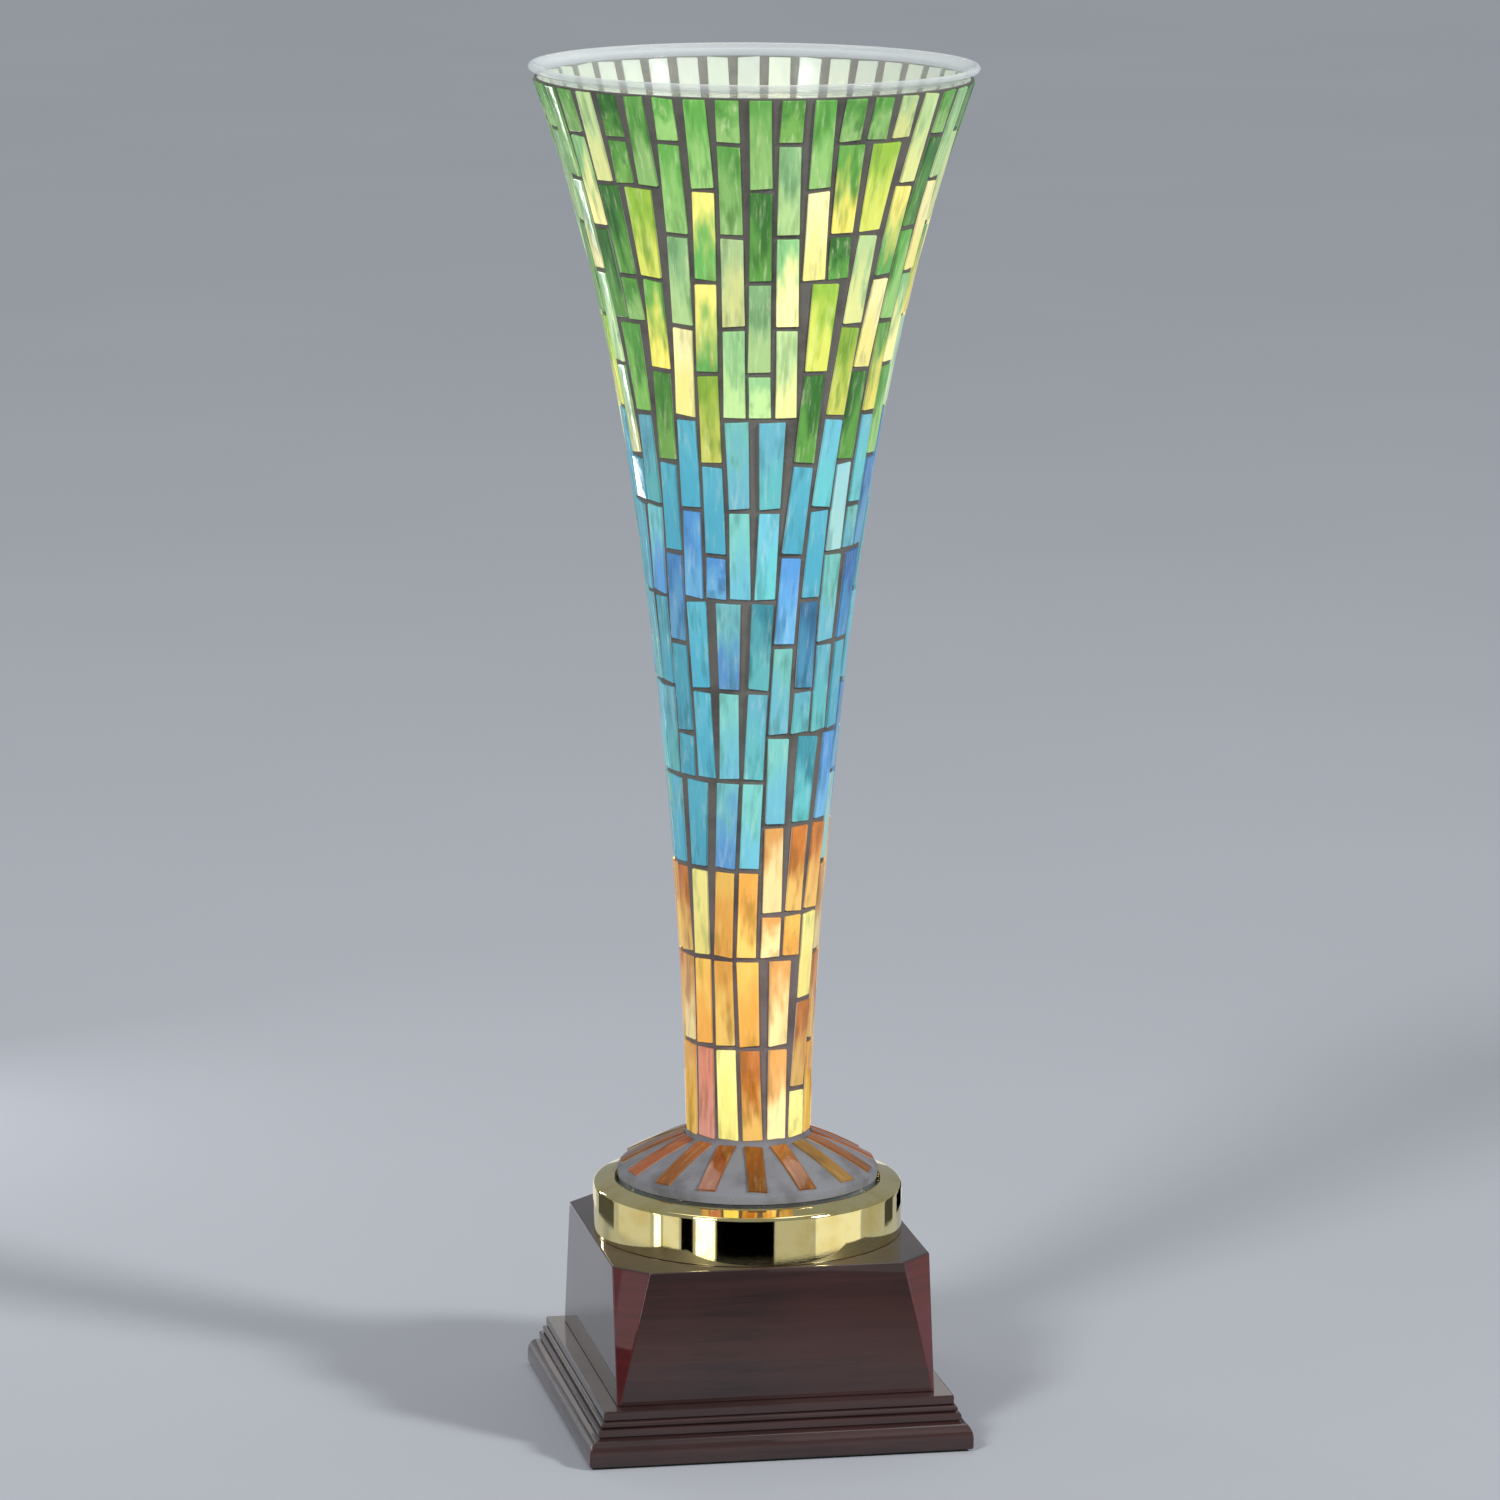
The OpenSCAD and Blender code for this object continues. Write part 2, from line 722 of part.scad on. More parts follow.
module bulb_cap() {
    color("#cfcdc4") translate([0, 0, cap_z]) difference() {
        cylinder(r = cap_r, h = cap_h);
        translate([0, 0, 0.6]) cylinder(r = cap_r - 0.5, h = cap_h);
    }
}

// Section of the envelope, outside when inset is 0: a round globe drawn down to a neck
function envelope(inset) = concat(
    [[0, globe_z + bulb_r - inset]],
    [for (a = [80 : -8 : -48]) [(bulb_r - inset) * cos(a), globe_z + (bulb_r - inset) * sin(a)]],
    [[neck_r + 2.6 - inset, cap_z + cap_h + 12], [neck_r - inset, cap_z + cap_h + 5],
     [neck_r - 0.5 - inset, cap_z + cap_h + 0.2]]);

module bulb_glass() {
    foot_z = cap_z + cap_h + 0.2;
    neck_z = cap_z + cap_h - 8;
    collar_in = cap_r - 0.6;
    outside = concat(envelope(0), [[collar_in, foot_z], [collar_in, neck_z]]);
    inside = concat([[collar_in - envelope_t, neck_z], [collar_in - envelope_t, foot_z + 0.4]],
        [for (k = [len(envelope(envelope_t)) - 1 : -1 : 0]) envelope(envelope_t)[k]]);
    color([0.97, 0.96, 0.9, 0.9]) rotate_extrude() polygon(concat(outside, inside));
}

// Glass stem that carries the filament's support wires
module bulb_stem() {
    stem_z = cap_z + cap_h - 7;
    color([0.9, 0.93, 0.93, 0.6]) translate([0, 0, stem_z]) {
        cylinder(r1 = 5.2, r2 = 2.4, h = 12);
        cylinder(r = 1.4, h = 28);
    }
}

filament_z = cap_z + cap_h + 24;

module bulb_filament() {
    color("#9a9a96") {
        for (x = [-1, 1]) translate([x * 2, 0, filament_z - 3]) rotate([0, x * 38, 0])
            cylinder(r = 0.25, h = 14, $fn = 16);
        translate([-10, 0, filament_z + 8]) rotate([0, 90, 0]) cylinder(r = 0.6, h = 20, $fn = 16);
    }
}

felt_pad();
bottom_cover();
cover_screws();
plinth();
block_screws();
base_block();
cord_bush();
terminal_block();
terminal_screws();
terminal_fixing();
lower_washer();
lower_nut();
lamp_pipe();
upper_washer();
upper_nut();
collar();
collar_screws();
foot_seal();
glass_vessel();
grout_bed();
green_strips();
blue_strips();
amber_strips();
foot_strips();
clamp_bush();
clamp_washer();
clamp_nut();
socket_nut();
socket_cup();
socket_body();
socket_insulator();
socket_contact();
socket_shell();
socket_screws();
lead_live();
lead_neutral();
bulb_contact();
bulb_insulator();
bulb_cap();
bulb_glass();
bulb_stem();
bulb_filament();
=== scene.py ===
# %% [markdown]
# # A mosaic glass table lamp
# The lamp is a flared glass vessel covered with cut strips of coloured glass. It stands by its foot
# in a polished brass collar on a lacquered wooden base, and a small bulb inside makes it glow.
# The packed CAD model gives every size and place. Here each piece gets its real surface: eased
# edges, hand-cut strips, sanded grout, cut threads, and a finish made of nodes.

# %% Load the frame
import math
import random

import bmesh
import bpy
import numpy as np
from mathutils import Matrix, Vector, noise


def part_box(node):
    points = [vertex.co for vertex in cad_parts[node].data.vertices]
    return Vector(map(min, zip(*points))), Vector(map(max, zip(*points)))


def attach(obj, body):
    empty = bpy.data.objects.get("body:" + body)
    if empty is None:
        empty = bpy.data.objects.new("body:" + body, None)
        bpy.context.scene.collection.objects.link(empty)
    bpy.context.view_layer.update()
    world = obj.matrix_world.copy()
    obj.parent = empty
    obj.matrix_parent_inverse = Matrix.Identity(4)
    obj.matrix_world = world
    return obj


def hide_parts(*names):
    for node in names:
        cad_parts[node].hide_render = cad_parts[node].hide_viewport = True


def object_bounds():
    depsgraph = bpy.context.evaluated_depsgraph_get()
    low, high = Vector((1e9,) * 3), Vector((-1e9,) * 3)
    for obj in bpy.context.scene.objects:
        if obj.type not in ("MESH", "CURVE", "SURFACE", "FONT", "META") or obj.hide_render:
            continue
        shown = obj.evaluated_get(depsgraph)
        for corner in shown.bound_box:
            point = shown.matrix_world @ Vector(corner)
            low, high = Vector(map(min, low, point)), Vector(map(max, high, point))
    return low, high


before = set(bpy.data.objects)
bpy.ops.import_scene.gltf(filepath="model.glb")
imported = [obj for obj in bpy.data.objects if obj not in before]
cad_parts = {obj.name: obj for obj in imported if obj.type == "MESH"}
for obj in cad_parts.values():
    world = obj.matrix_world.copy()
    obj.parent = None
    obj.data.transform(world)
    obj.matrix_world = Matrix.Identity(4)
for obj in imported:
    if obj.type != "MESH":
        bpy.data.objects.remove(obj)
cad_low, cad_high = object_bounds()
MM = 0.001
print("CAD box in mm:", [round(v / MM, 1) for v in (*cad_low, *cad_high)])

# %% [markdown]
# ## Camera
# The lamp is seen from a little above and a little to the left of its front face, from far enough
# away that its sides stay nearly parallel. A long lens does that. The camera aims at the lamp's
# axis just below its middle, and is turned a third of a degree about its own line of sight. The
# plain "Standard" view transform leaves the bright colours of the lit glass as they are mixed.

# %% Camera


def add_object(name, data, pose=None):
    """Puts a new object in the scene, at a pose if one is given."""
    thing = bpy.data.objects.new(name, data)
    if pose is not None:
        thing.matrix_world = pose
    bpy.context.scene.collection.objects.link(thing)
    return thing


def looking(place, line):
    """The pose of a camera or a light at a place that looks along a line."""
    return Matrix.Translation(place) @ line.to_track_quat("-Z", "Y").to_matrix().to_4x4()


view_turn = math.radians(10.99)
view_tip = math.radians(11.14)
view_roll = math.radians(0.355)
view_distance = 2.18
aim = Vector((0, 0, 0.4982 * cad_high.z))
sight = Vector((math.sin(view_turn) * math.cos(view_tip), math.cos(view_turn) * math.cos(view_tip),
                -math.sin(view_tip)))
camera_place = aim - view_distance * sight
camera = add_object("camera", bpy.data.cameras.new("camera"),
                    looking(camera_place, sight) @ Matrix.Rotation(view_roll, 4, "Z"))
camera.data.lens = 166.5
camera.data.sensor_width = 36
camera.data.clip_end = 50
bpy.context.scene.camera = camera
bpy.context.scene.view_settings.view_transform = "Standard"
print("camera stands", round(camera_place.length, 2), "m away")

# %% [markdown]
# ## A desk for shader nodes
# Every finish is a small sum: a noise times a strength, plus a base value. Writing these as Python
# expressions keeps them readable, so a `Tap` wraps one output of a node and its operators add Math
# nodes. Only the operators that the finishes use are there, with their reflected forms.

# %% Tap


class Tap:
    """One output socket of a node. Sums and products of taps add Math nodes."""

    def __init__(self, desk, socket):
        self.desk = desk
        self.socket = socket

    def maths(self, operation, *values):
        return self.desk.node("ShaderNodeMath", {"operation": operation}, dict(enumerate(values)))

    def __add__(self, other):
        return self.maths("ADD", self, other)

    def __sub__(self, other):
        return self.maths("SUBTRACT", self, other)

    def __rsub__(self, other):
        return self.maths("SUBTRACT", other, self)

    def __mul__(self, other):
        return self.maths("MULTIPLY", self, other)

    __radd__ = __add__
    __rmul__ = __mul__


print("a tap adds Math nodes for +, - and *")

# %% [markdown]
# The `Desk` holds one material. Its `node` method adds any node from its type, its settings and its
# sockets, and the other methods are short names for the nodes that are used most.

# %% Desk


class Desk:
    """The node tree of one new material."""

    def __init__(self, name):
        self.material = bpy.data.materials.new(name)
        self.material.use_nodes = True
        self.tree = self.material.node_tree
        self.tree.nodes.clear()

    def node(self, kind, settings=None, sockets=None, output=0):
        made = self.tree.nodes.new(kind)
        for setting, value in (settings or {}).items():
            setattr(made, setting, value)
        for key, value in (sockets or {}).items():
            if isinstance(value, Tap):
                self.tree.links.new(value.socket, made.inputs[key])
            else:
                made.inputs[key].default_value = value
        return Tap(self, made.outputs[output]) if made.outputs else None

    def place(self, stretch=(1, 1, 1)):
        """Where a point lies on the lamp, in metres, stretched along each axis."""
        where = self.node("ShaderNodeTexCoord", output=3)
        return self.node("ShaderNodeVectorMath", {"operation": "MULTIPLY"}, {0: where, 1: stretch})

    def part(self, vector, index):
        """One number of a vector: 0 for x, 1 for y, 2 for z."""
        return self.node("ShaderNodeSeparateXYZ", None, {0: vector}, output=index)

    def noise(self, where, scale, detail=3.0, roughness=0.5):
        return self.node("ShaderNodeTexNoise", None, {
            "Vector": where, "Scale": scale, "Detail": detail, "Roughness": roughness})

    def attribute(self, name, output=2):
        return self.node("ShaderNodeAttribute", {"attribute_name": name}, output=output)

    def ease(self, value, low, high):
        """0 below low, 1 above high, and a smooth step between."""
        return self.node("ShaderNodeMapRange", {"interpolation_type": "SMOOTHSTEP"}, {
            "Value": value, "From Min": low, "From Max": high})

    def mix(self, factor, first, second, blend="MIX"):
        """A mix of two colours."""
        return self.node("ShaderNodeMix", {"data_type": "RGBA", "blend_type": blend},
                         {0: factor, 6: first, 7: second}, output=2)

    def bump(self, height, distance, strength=1.0):
        return self.node("ShaderNodeBump", None, {
            "Height": height, "Distance": distance * MM, "Strength": strength})

    def finish(self, sockets):
        shader = self.node("ShaderNodeBsdfPrincipled", None, sockets)
        self.node("ShaderNodeOutputMaterial", None, {"Surface": shader})
        return self.material


print("a desk has", len([name for name in vars(Desk) if name[0] != "_"]), "tools")

# %% [markdown]
# Colours are mixed on the usual 0 to 255 scale. A shader counts light instead, so each
# number goes through the standard curve that screens use.

# %% Paint


def paint(red, green, blue):
    """A colour on a 0 to 255 scale, as the light values that a shader needs."""
    return tuple((c / 255 / 12.92 if c < 10.4 else ((c / 255 + 0.055) / 1.055) ** 2.4)
                 for c in (red, green, blue)) + (1.0,)


print("mid grey paint is", [round(c, 3) for c in paint(128, 128, 128)])

# %% [markdown]
# ## Outlines
# Nearly every piece is either turned on a lathe or built from loops of points that follow each
# other: a square moulding, a block with facets, a cut strip. Both start from an outline. No real
# edge is perfectly sharp, so one function rounds the corners of an outline.

# %% Outlines


def arc(centre, radius, start, end, step):
    """Points on an arc, from one angle in degrees to just before another."""
    return [(centre[0] + radius * math.cos(a), centre[1] + radius * math.sin(a))
            for a in np.radians(np.arange(start, end, step))]


def circle(radius, z, angles):
    """A level loop of points, one at each angle."""
    return [(radius * math.cos(a), radius * math.sin(a), z) for a in angles]


def eased(outline, size, steps=3):
    """Rounds each corner of a closed outline with a short curve."""
    result = []
    for i, corner in enumerate(outline):
        corner = Vector(corner)
        before = Vector(outline[i - 1]) - corner
        after = Vector(outline[(i + 1) % len(outline)]) - corner
        reach = min(size, before.length * 0.45, after.length * 0.45)
        start = corner + before.normalized() * reach
        end = corner + after.normalized() * reach
        for k in range(steps + 1):
            t = k / steps
            result.append((1 - t) ** 2 * start + 2 * t * (1 - t) * corner + t * t * end)
    return result


print("a square with eased corners has",
      len(eased([(0, 0), (1, 0), (1, 1), (0, 1)], 0.1)), "points")

# %% [markdown]
# ## Meshes from loops
# A stack of loops is skinned with quads. Doubled points are merged, so a loop may shrink to nothing
# on the axis of the lathe. Edges sharper than a limit stay sharp in the shading.

# %% Meshes from loops


def skin_faces(rings, sides, closed):
    """Quads between each ring of points and the next, and from last to first if closed."""
    ring = np.arange(rings if closed else rings - 1)[:, None]
    side = np.arange(sides)[None, :]
    after, beside = (ring + 1) % rings, (side + 1) % sides
    corners = [ring * sides + side, ring * sides + beside, after * sides + beside,
               after * sides + side]
    return np.stack(np.broadcast_arrays(*corners), -1).reshape(-1, 4).tolist()


def make_mesh(name, points, faces, crease=35, tidy=True):
    """A mesh from points in millimetres, smooth except across edges sharper than crease."""
    mesh = bpy.data.meshes.new(name)
    mesh.from_pydata((np.asarray(points, float) * MM).tolist(), [], faces)
    if tidy:
        work = bmesh.new()
        work.from_mesh(mesh)
        bmesh.ops.remove_doubles(work, verts=work.verts, dist=1e-7)
        bmesh.ops.recalc_face_normals(work, faces=work.faces)
        work.to_mesh(mesh)
        work.free()
    mesh.shade_smooth()
    mesh.set_sharp_from_angle(angle=math.radians(crease))
    return mesh


def turned(name, outline, sides=128, closed=True, crease=35):
    """A solid turned on a lathe from (radius, height) points."""
    angle = np.arange(sides) * 2 * math.pi / sides
    radius, height = (np.array([p[k] for p in outline])[:, None] for k in (0, 1))
    points = np.stack([radius * np.cos(angle), radius * np.sin(angle), height + 0 * angle], -1)
    return make_mesh(name, points.reshape(-1, 3), skin_faces(len(outline), sides, closed), crease)


def stacked(name, loops, crease=35):
    """A closed ring solid through loops of points, the last joined to the first."""
    points = [p for loop in loops for p in loop]
    return make_mesh(name, points, skin_faces(len(loops), len(loops[0]), True), crease)


print("a tube of 3 rings and 8 sides has", len(skin_faces(3, 8, False)), "faces")

# %% [markdown]
# ## Screw threads
# A thread is a wave that climbs once round for each pitch. The radius follows a cosine of the
# height and the angle together, and fades to nothing at both ends, as a cut thread runs out.

# %% Screw threads


def threaded(name, radius, depth, pitch, low, high, bore, sides=36, rows=6, follow=False):
    """A tube with a screw thread outside. With follow, the bore is a rolled copy of it."""
    count = int((high - low) / pitch * rows)
    height = np.linspace(low, high, count + 1)[:, None]
    angle = np.arange(sides) * 2 * math.pi / sides
    turn = 2 * math.pi * height / pitch - angle
    fade = np.clip(np.minimum(height - low, high - height) / pitch, 0, 1)
    outside = radius - depth * (0.5 - 0.5 * np.cos(turn)) * fade
    inside = outside - (radius - bore) if follow else np.full_like(outside, bore)
    rings = np.concatenate([outside, inside[::-1]])
    levels = np.concatenate([height, height[::-1]]) + 0 * angle
    points = np.stack([rings * np.cos(angle), rings * np.sin(angle), levels], -1)
    return make_mesh(name, points.reshape(-1, 3), skin_faces(len(rings), sides, True), 50)


print("20 mm of thread with a pitch of 1.5 mm turns", round(20 / 1.5, 1), "times")

# %% [markdown]
# ## Placing a finished piece
# Each piece rides on a body of the CAD model and stands in for its CAD nodes. Weighted normals make
# the large faces shade flat, so that only the rounded edges turn the light.

# %% Placing a finished piece


def span(node):
    """Lowest and highest corner of a CAD node, in millimetres."""
    low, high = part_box(node)
    return low / MM, high / MM


def place_piece(name, mesh, finish, slot, body, *nodes):
    """Puts a finished piece in the scene, riding on its CAD body in place of its CAD nodes."""
    thing = add_object(name, mesh)
    mesh.materials.append(finish)
    shading = thing.modifiers.new("flat faces stay flat", "WEIGHTED_NORMAL")
    shading.keep_sharp = True
    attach(thing, body)
    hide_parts(*nodes)
    print(f"{name}: {len(mesh.vertices)} points, {len(mesh.polygons)} faces")


print("a nut's corner radius is", round(span("upper_nut")[1].x, 2), "mm")

# %% [markdown]
# ## The surface that carries the mosaic
# The trunk swells from a narrow waist into a wide mouth in one smooth curve. The CAD grout bed has
# that shape in short straight steps, so rays shot at it measure the radius at many heights, and a
# polynomial through them gives the smooth curve back. The foot's dome is measured from above.

# %% Measure the trunk and the foot
WAIST_Z = 93.6
FOOT_EDGE_R = 41.4
STRIP_FACE = 1.9
CURVE_DEGREE = 5


def cast(node, start, direction):
    """Where a ray meets a CAD node, in millimetres."""
    hit, point, _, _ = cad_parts[node].ray_cast(Vector(start) * MM, Vector(direction))
    assert hit, (node, start)
    return point / MM


lip_r = span("glass_vessel")[1].x
total_h = span("glass_vessel")[1].z
mosaic_top = span("green_strips")[1].z + 0.6
probe_heights = np.linspace(WAIST_Z + 0.4, mosaic_top - 2, 60)
probe_radii = [cast("grout_bed", (90, 0, z), (-1, 0, 0)).x for z in probe_heights]
trunk_curve = np.polynomial.Polynomial.fit(probe_heights, probe_radii, CURVE_DEGREE)
trunk_slope = trunk_curve.deriv()

foot_probes = np.linspace(22, 38.5, 12)
foot_heights = [cast("grout_bed", (r, 0, 89.9), (0, 0, -1)).z for r in foot_probes]
foot_curve = np.polynomial.Polynomial.fit(foot_probes, foot_heights, 2)


def on_trunk(z, out):
    """Point of the trunk's section that lies out from the bed's surface, across the wall."""
    slope = math.atan(trunk_slope(z))
    return Vector((trunk_curve(z) + out * math.cos(slope), z - out * math.sin(slope)))


print("trunk radius at waist, middle and lip:",
      [round(float(trunk_curve(z)), 2) for z in (95, 260, 424)])

# %% [markdown]
# ## Coloured sheet glass
# The strips are cut from streaky sheet glass: one sheet runs from deep green to yellow, another
# from amber to cream. A sheet is given here by the colour at a strip's head and the colour at its
# tail. The cutter lays them by zone: greens and yellows at the mouth, blues below, then ambers, and
# browns on the foot. A sheet that is named more often in a zone's list is dealt more often.

# %% Sheets of glass
SHEETS = {
    "fern": ((50, 104, 40), (84, 140, 58)),
    "moss": ((74, 134, 54), (112, 164, 76)),
    "leaf": ((92, 156, 68), (138, 184, 104)),
    "lime": ((134, 170, 56), (196, 202, 88)),
    "sage": ((128, 172, 116), (166, 198, 130)),
    "sage_cream": ((122, 172, 112), (234, 226, 150)),
    "pale": ((172, 198, 136), (210, 214, 138)),
    "leaf_yellow": ((96, 156, 66), (228, 216, 100)),
    "yellow_leaf": ((230, 218, 114), (96, 160, 78)),
    "cream": ((240, 230, 164), (236, 224, 134)),
    "mist": ((154, 190, 154), (184, 206, 160)),
    "sky": ((102, 176, 192), (98, 184, 186)),
    "turquoise": ((86, 170, 188), (76, 162, 184)),
    "cornflower": ((78, 138, 192), (100, 162, 200)),
    "royal": ((54, 112, 174), (72, 144, 192)),
    "steel": ((54, 106, 142), (70, 136, 168)),
    "teal": ((60, 136, 150), (94, 176, 178)),
    "aqua": ((114, 186, 178), (104, 176, 192)),
    "lagoon": ((112, 184, 190), (88, 146, 196)),
    "mint": ((150, 204, 208), (158, 206, 202)),
    "amber": ((206, 146, 62), (226, 182, 90)),
    "honey": ((232, 182, 84), (224, 158, 68)),
    "orange": ((188, 112, 46), (222, 176, 94)),
    "peach": ((206, 148, 78), (232, 208, 144)),
    "lemon": ((244, 232, 140), (240, 222, 126)),
    "salmon": ((200, 124, 98), (196, 130, 112)),
    "brown": ((138, 78, 26), (118, 70, 22)),
    "rust": ((142, 74, 24), (142, 78, 38)),
    "olive": ((128, 92, 34), (138, 102, 44)),
}
RIM_SHEETS = ["fern", "leaf", "moss", "sage", "fern", "leaf_yellow", "moss", "leaf", "pale"]
GREEN_SHEETS = ["sage", "pale", "leaf", "sage", "sage_cream", "leaf_yellow", "lime", "moss", "leaf",
                "yellow_leaf", "mist", "pale", "cream", "sage", "fern", "sage_cream", "cream"]
BLUE_SHEETS = ["sky", "turquoise", "lagoon", "aqua", "teal", "sky", "cornflower", "turquoise",
               "aqua", "lagoon", "sky", "steel", "turquoise", "aqua", "royal", "lagoon", "sky",
               "turquoise", "cornflower", "mint"]
AMBER_SHEETS = 3 * ["amber", "honey", "orange", "peach", "amber", "honey", "lemon", "peach",
                    "amber"] + ["salmon"]
FOOT_SHEETS = ["brown", "rust", "brown", "olive", "rust"]
print(len(SHEETS), "sheets of glass")

# %% [markdown]
# ## Where the strips lie
# Each CAD strip is a flat box, and all boxes of a colour are one node. The boxes are told apart by
# walking from point to point along the edges. The three edges that meet at a corner give the
# directions of a strip: the shortest is its thickness, and the longest is its run.

# %% Read the boxes


def flat_boxes(node):
    """Centre, axes (across, along, out) and half sizes of each box in a CAD node."""
    work = bmesh.new()
    work.from_mesh(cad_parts[node].data)
    bmesh.ops.remove_doubles(work, verts=work.verts, dist=1e-6)
    seen, boxes = set(), []
    for first in work.verts:
        if first in seen:
            continue
        island = [first]
        seen.add(first)
        for vertex in island:
            for other in (edge.other_vert(vertex) for edge in vertex.link_edges):
                if other not in seen:
                    seen.add(other)
                    island.append(other)
        boxes.append(box_axes([v.co / MM for v in island]))
    work.free()
    return sorted(boxes, key=lambda b: (-round(b["centre"].z, 1),
                                        round(math.atan2(b["centre"].y, b["centre"].x), 3)))


def box_axes(corners):
    """Centre, axes and half sizes of one box. Its thickness points out of the lamp, or up."""
    centre = sum(corners, Vector()) / len(corners)
    arms = sorted((c - corners[0] for c in corners[1:]), key=lambda arm: arm.length)
    thick = arms[0]
    flat = [arm for arm in arms[1:] if abs(arm.dot(thick)) < 0.05 * arm.length * thick.length]
    along = flat[1]
    if along.z < 0:
        along = -along
    up = 30
    outward = Vector((centre.x, centre.y, up))
    if thick.dot(outward) < 0:
        thick = -thick
    across = along.cross(thick).normalized()
    return {"centre": centre, "axes": (across, along.normalized(), thick.normalized()),
            "half": (flat[0].length / 2, along.length / 2, thick.length / 2)}


BOXES = {node: flat_boxes(node)
         for node in ("green_strips", "blue_strips", "amber_strips", "foot_strips")}
print({node: len(boxes) for node, boxes in BOXES.items()})

# %% [markdown]
# ## Fitting the strips to each other
# Where two columns run into one as the trunk narrows, strips that are a little wider at one end
# keep the wedge of grout narrow. For each strip the room beside it is measured at five heights, and
# the widths added at its tail and head are the most that fit at all five. The lowest row runs down
# to meet the foot.

# %% Fit the strips
WIDEST_JOINT = 2.5
MOST_ADDED = 2.1
LOWEST_ROW_ADDED = 0.9


def angle_at(box, side, height):
    """Angle round the lamp of one long edge of a strip, at a height."""
    across, along, _ = box["axes"]
    point = box["centre"] + along * ((height - box["centre"].z) / along.z) \
        + across * side * box["half"][0]
    return math.atan2(point.y, point.x)


def room_beside(box, side, height, others):
    """How much wider a strip may be on one side, so that it shares a gap with its neighbour."""
    here = angle_at(box, side, height)
    gap = min((side * (angle_at(other, -side, height) - here)) % (2 * math.pi) for other in others
              if other is not box and abs(other["centre"].z - height)
              < other["half"][1] * other["axes"][1].z + 0.7)
    spare = float(gap * trunk_curve(height) - WIDEST_JOINT) / 2
    return min(MOST_ADDED, max(0.0, spare))


def fit_strip(box, others):
    """Width to add at the tail and head of each side, so that wedge-shaped gaps close."""
    reach = box["half"][1] * box["axes"][1].z - 1.0
    box["fit"] = {}
    for side in (1, -1):
        shares = (0, 0.25, 0.5, 0.75, 1)
        room = [room_beside(box, side, box["centre"].z + (2 * share - 1) * reach, others)
                for share in shares]
        tail, head = room[0], room[-1]
        for share, most in zip(shares, room):
            wanted = tail + (head - tail) * share
            if wanted > most:
                tail, head = tail * most / wanted, head * most / wanted
        box["fit"][side] = (tail, head)


trunk_boxes = [box for node in BOXES for box in BOXES[node] if node != "foot_strips"]
for box in trunk_boxes:
    fit_strip(box, trunk_boxes)
for box in BOXES["foot_strips"]:
    box["fit"] = {1: (0, 0), -1: (0, 0)}
for box in trunk_boxes:
    half_w, half_l, half_t = box["half"]
    if box["centre"].z - half_l < WAIST_Z + 2:
        box["centre"] -= LOWEST_ROW_ADDED * box["axes"][1]
        box["half"] = (half_w, half_l + LOWEST_ROW_ADDED, half_t)
print(sum(max(box["fit"][1] + box["fit"][-1]) > 0.2 for box in trunk_boxes), "strips are widened")

# %% [markdown]
# ## Cutting one strip
# A glazier scores and snaps such strips by hand, so their edges are not quite parallel, their ends
# are a little askew, the arrises are ground off, and each one rocks slightly on its bed, which
# makes reflections jump from strip to strip. The strip is a stack of rounded sections laid in the
# box, with those small faults added from a seeded random source.

# %% Cut one strip
ARRIS = 0.3
# An eased end: how far each section lies from the end, and how far in, both in arrises.
END_EASE = [(0.0, 1.0), (0.3, 0.3), (1.0, 0.0)]
# Three points round each corner of a section: which side, front or back, and the arc's angle.
SECTION = [(sx, sz, math.radians(quarter + step)) for sx, sz, quarter in
           ((1, 1, 0), (-1, 1, 90), (-1, -1, 180), (1, -1, 270)) for step in (0, 45, 90)]


def cut_strip(box, chance, crown):
    """Points of one hand-cut strip, with how far each is along, across and behind it."""
    half_w, half_l, half_t = box["half"]
    half_w -= chance.uniform(0.08, 0.22)
    stations = [(half_l - ease * ARRIS, inset * ARRIS) for ease, inset in END_EASE]
    stations += [(half_l * share, 0) for share in (0.5, 0, -0.5)]
    stations += [(-y, inset) for y, inset in stations[2::-1]]
    sides = {1: chance.uniform(-0.1, 0.06), -1: chance.uniform(-0.1, 0.06)}
    bow = {1: chance.uniform(-0.12, 0.02), -1: chance.uniform(-0.12, 0.02)}
    skew = {1: chance.uniform(-0.28, 0.28), -1: chance.uniform(-0.28, 0.28)}
    rock = math.radians(chance.gauss(0, 0.9))
    nod = math.radians(chance.gauss(0, 0.45))
    lift = chance.uniform(-0.12, 0.12)
    across, along, out = box["axes"]
    points, notes = [], []
    for y, inset in stations:
        share = y / half_l
        for sx, sz, angle in SECTION:
            tail, head = box["fit"][sx]
            wider = tail + (head - tail) * (1 + share) / 2
            edge = half_w + wider - inset - ARRIS + sides[sx] * share + bow[sx] * (1 - share ** 2)
            x = sx * edge + ARRIS * math.cos(angle)
            z = sz * (half_t - inset - ARRIS) + ARRIS * math.sin(angle)
            z += lift + x * rock + y * nod + crown * (1 - share ** 2)
            end = 1 if share > 0 else -1
            slide = y + skew[end] * x / half_w * abs(share)
            points.append(box["centre"] + x * across + slide * along + z * out)
            notes.append(((1 - share) / 2, x, 1.0 if sz < 0 else 0.0))
    return points, notes


print("a strip's section has", len(SECTION), "points")

# %% [markdown]
# ## Laying a zone of strips
# Each strip of a zone is dealt one sheet of glass, with deeper greens near the rim. Where a point
# lies on its strip, and the two colours of its sheet, are stored on the mesh as attributes, so that
# one finish serves the whole zone and still makes every strip different.

# %% Lay a zone
RIM_DEPTH = 22


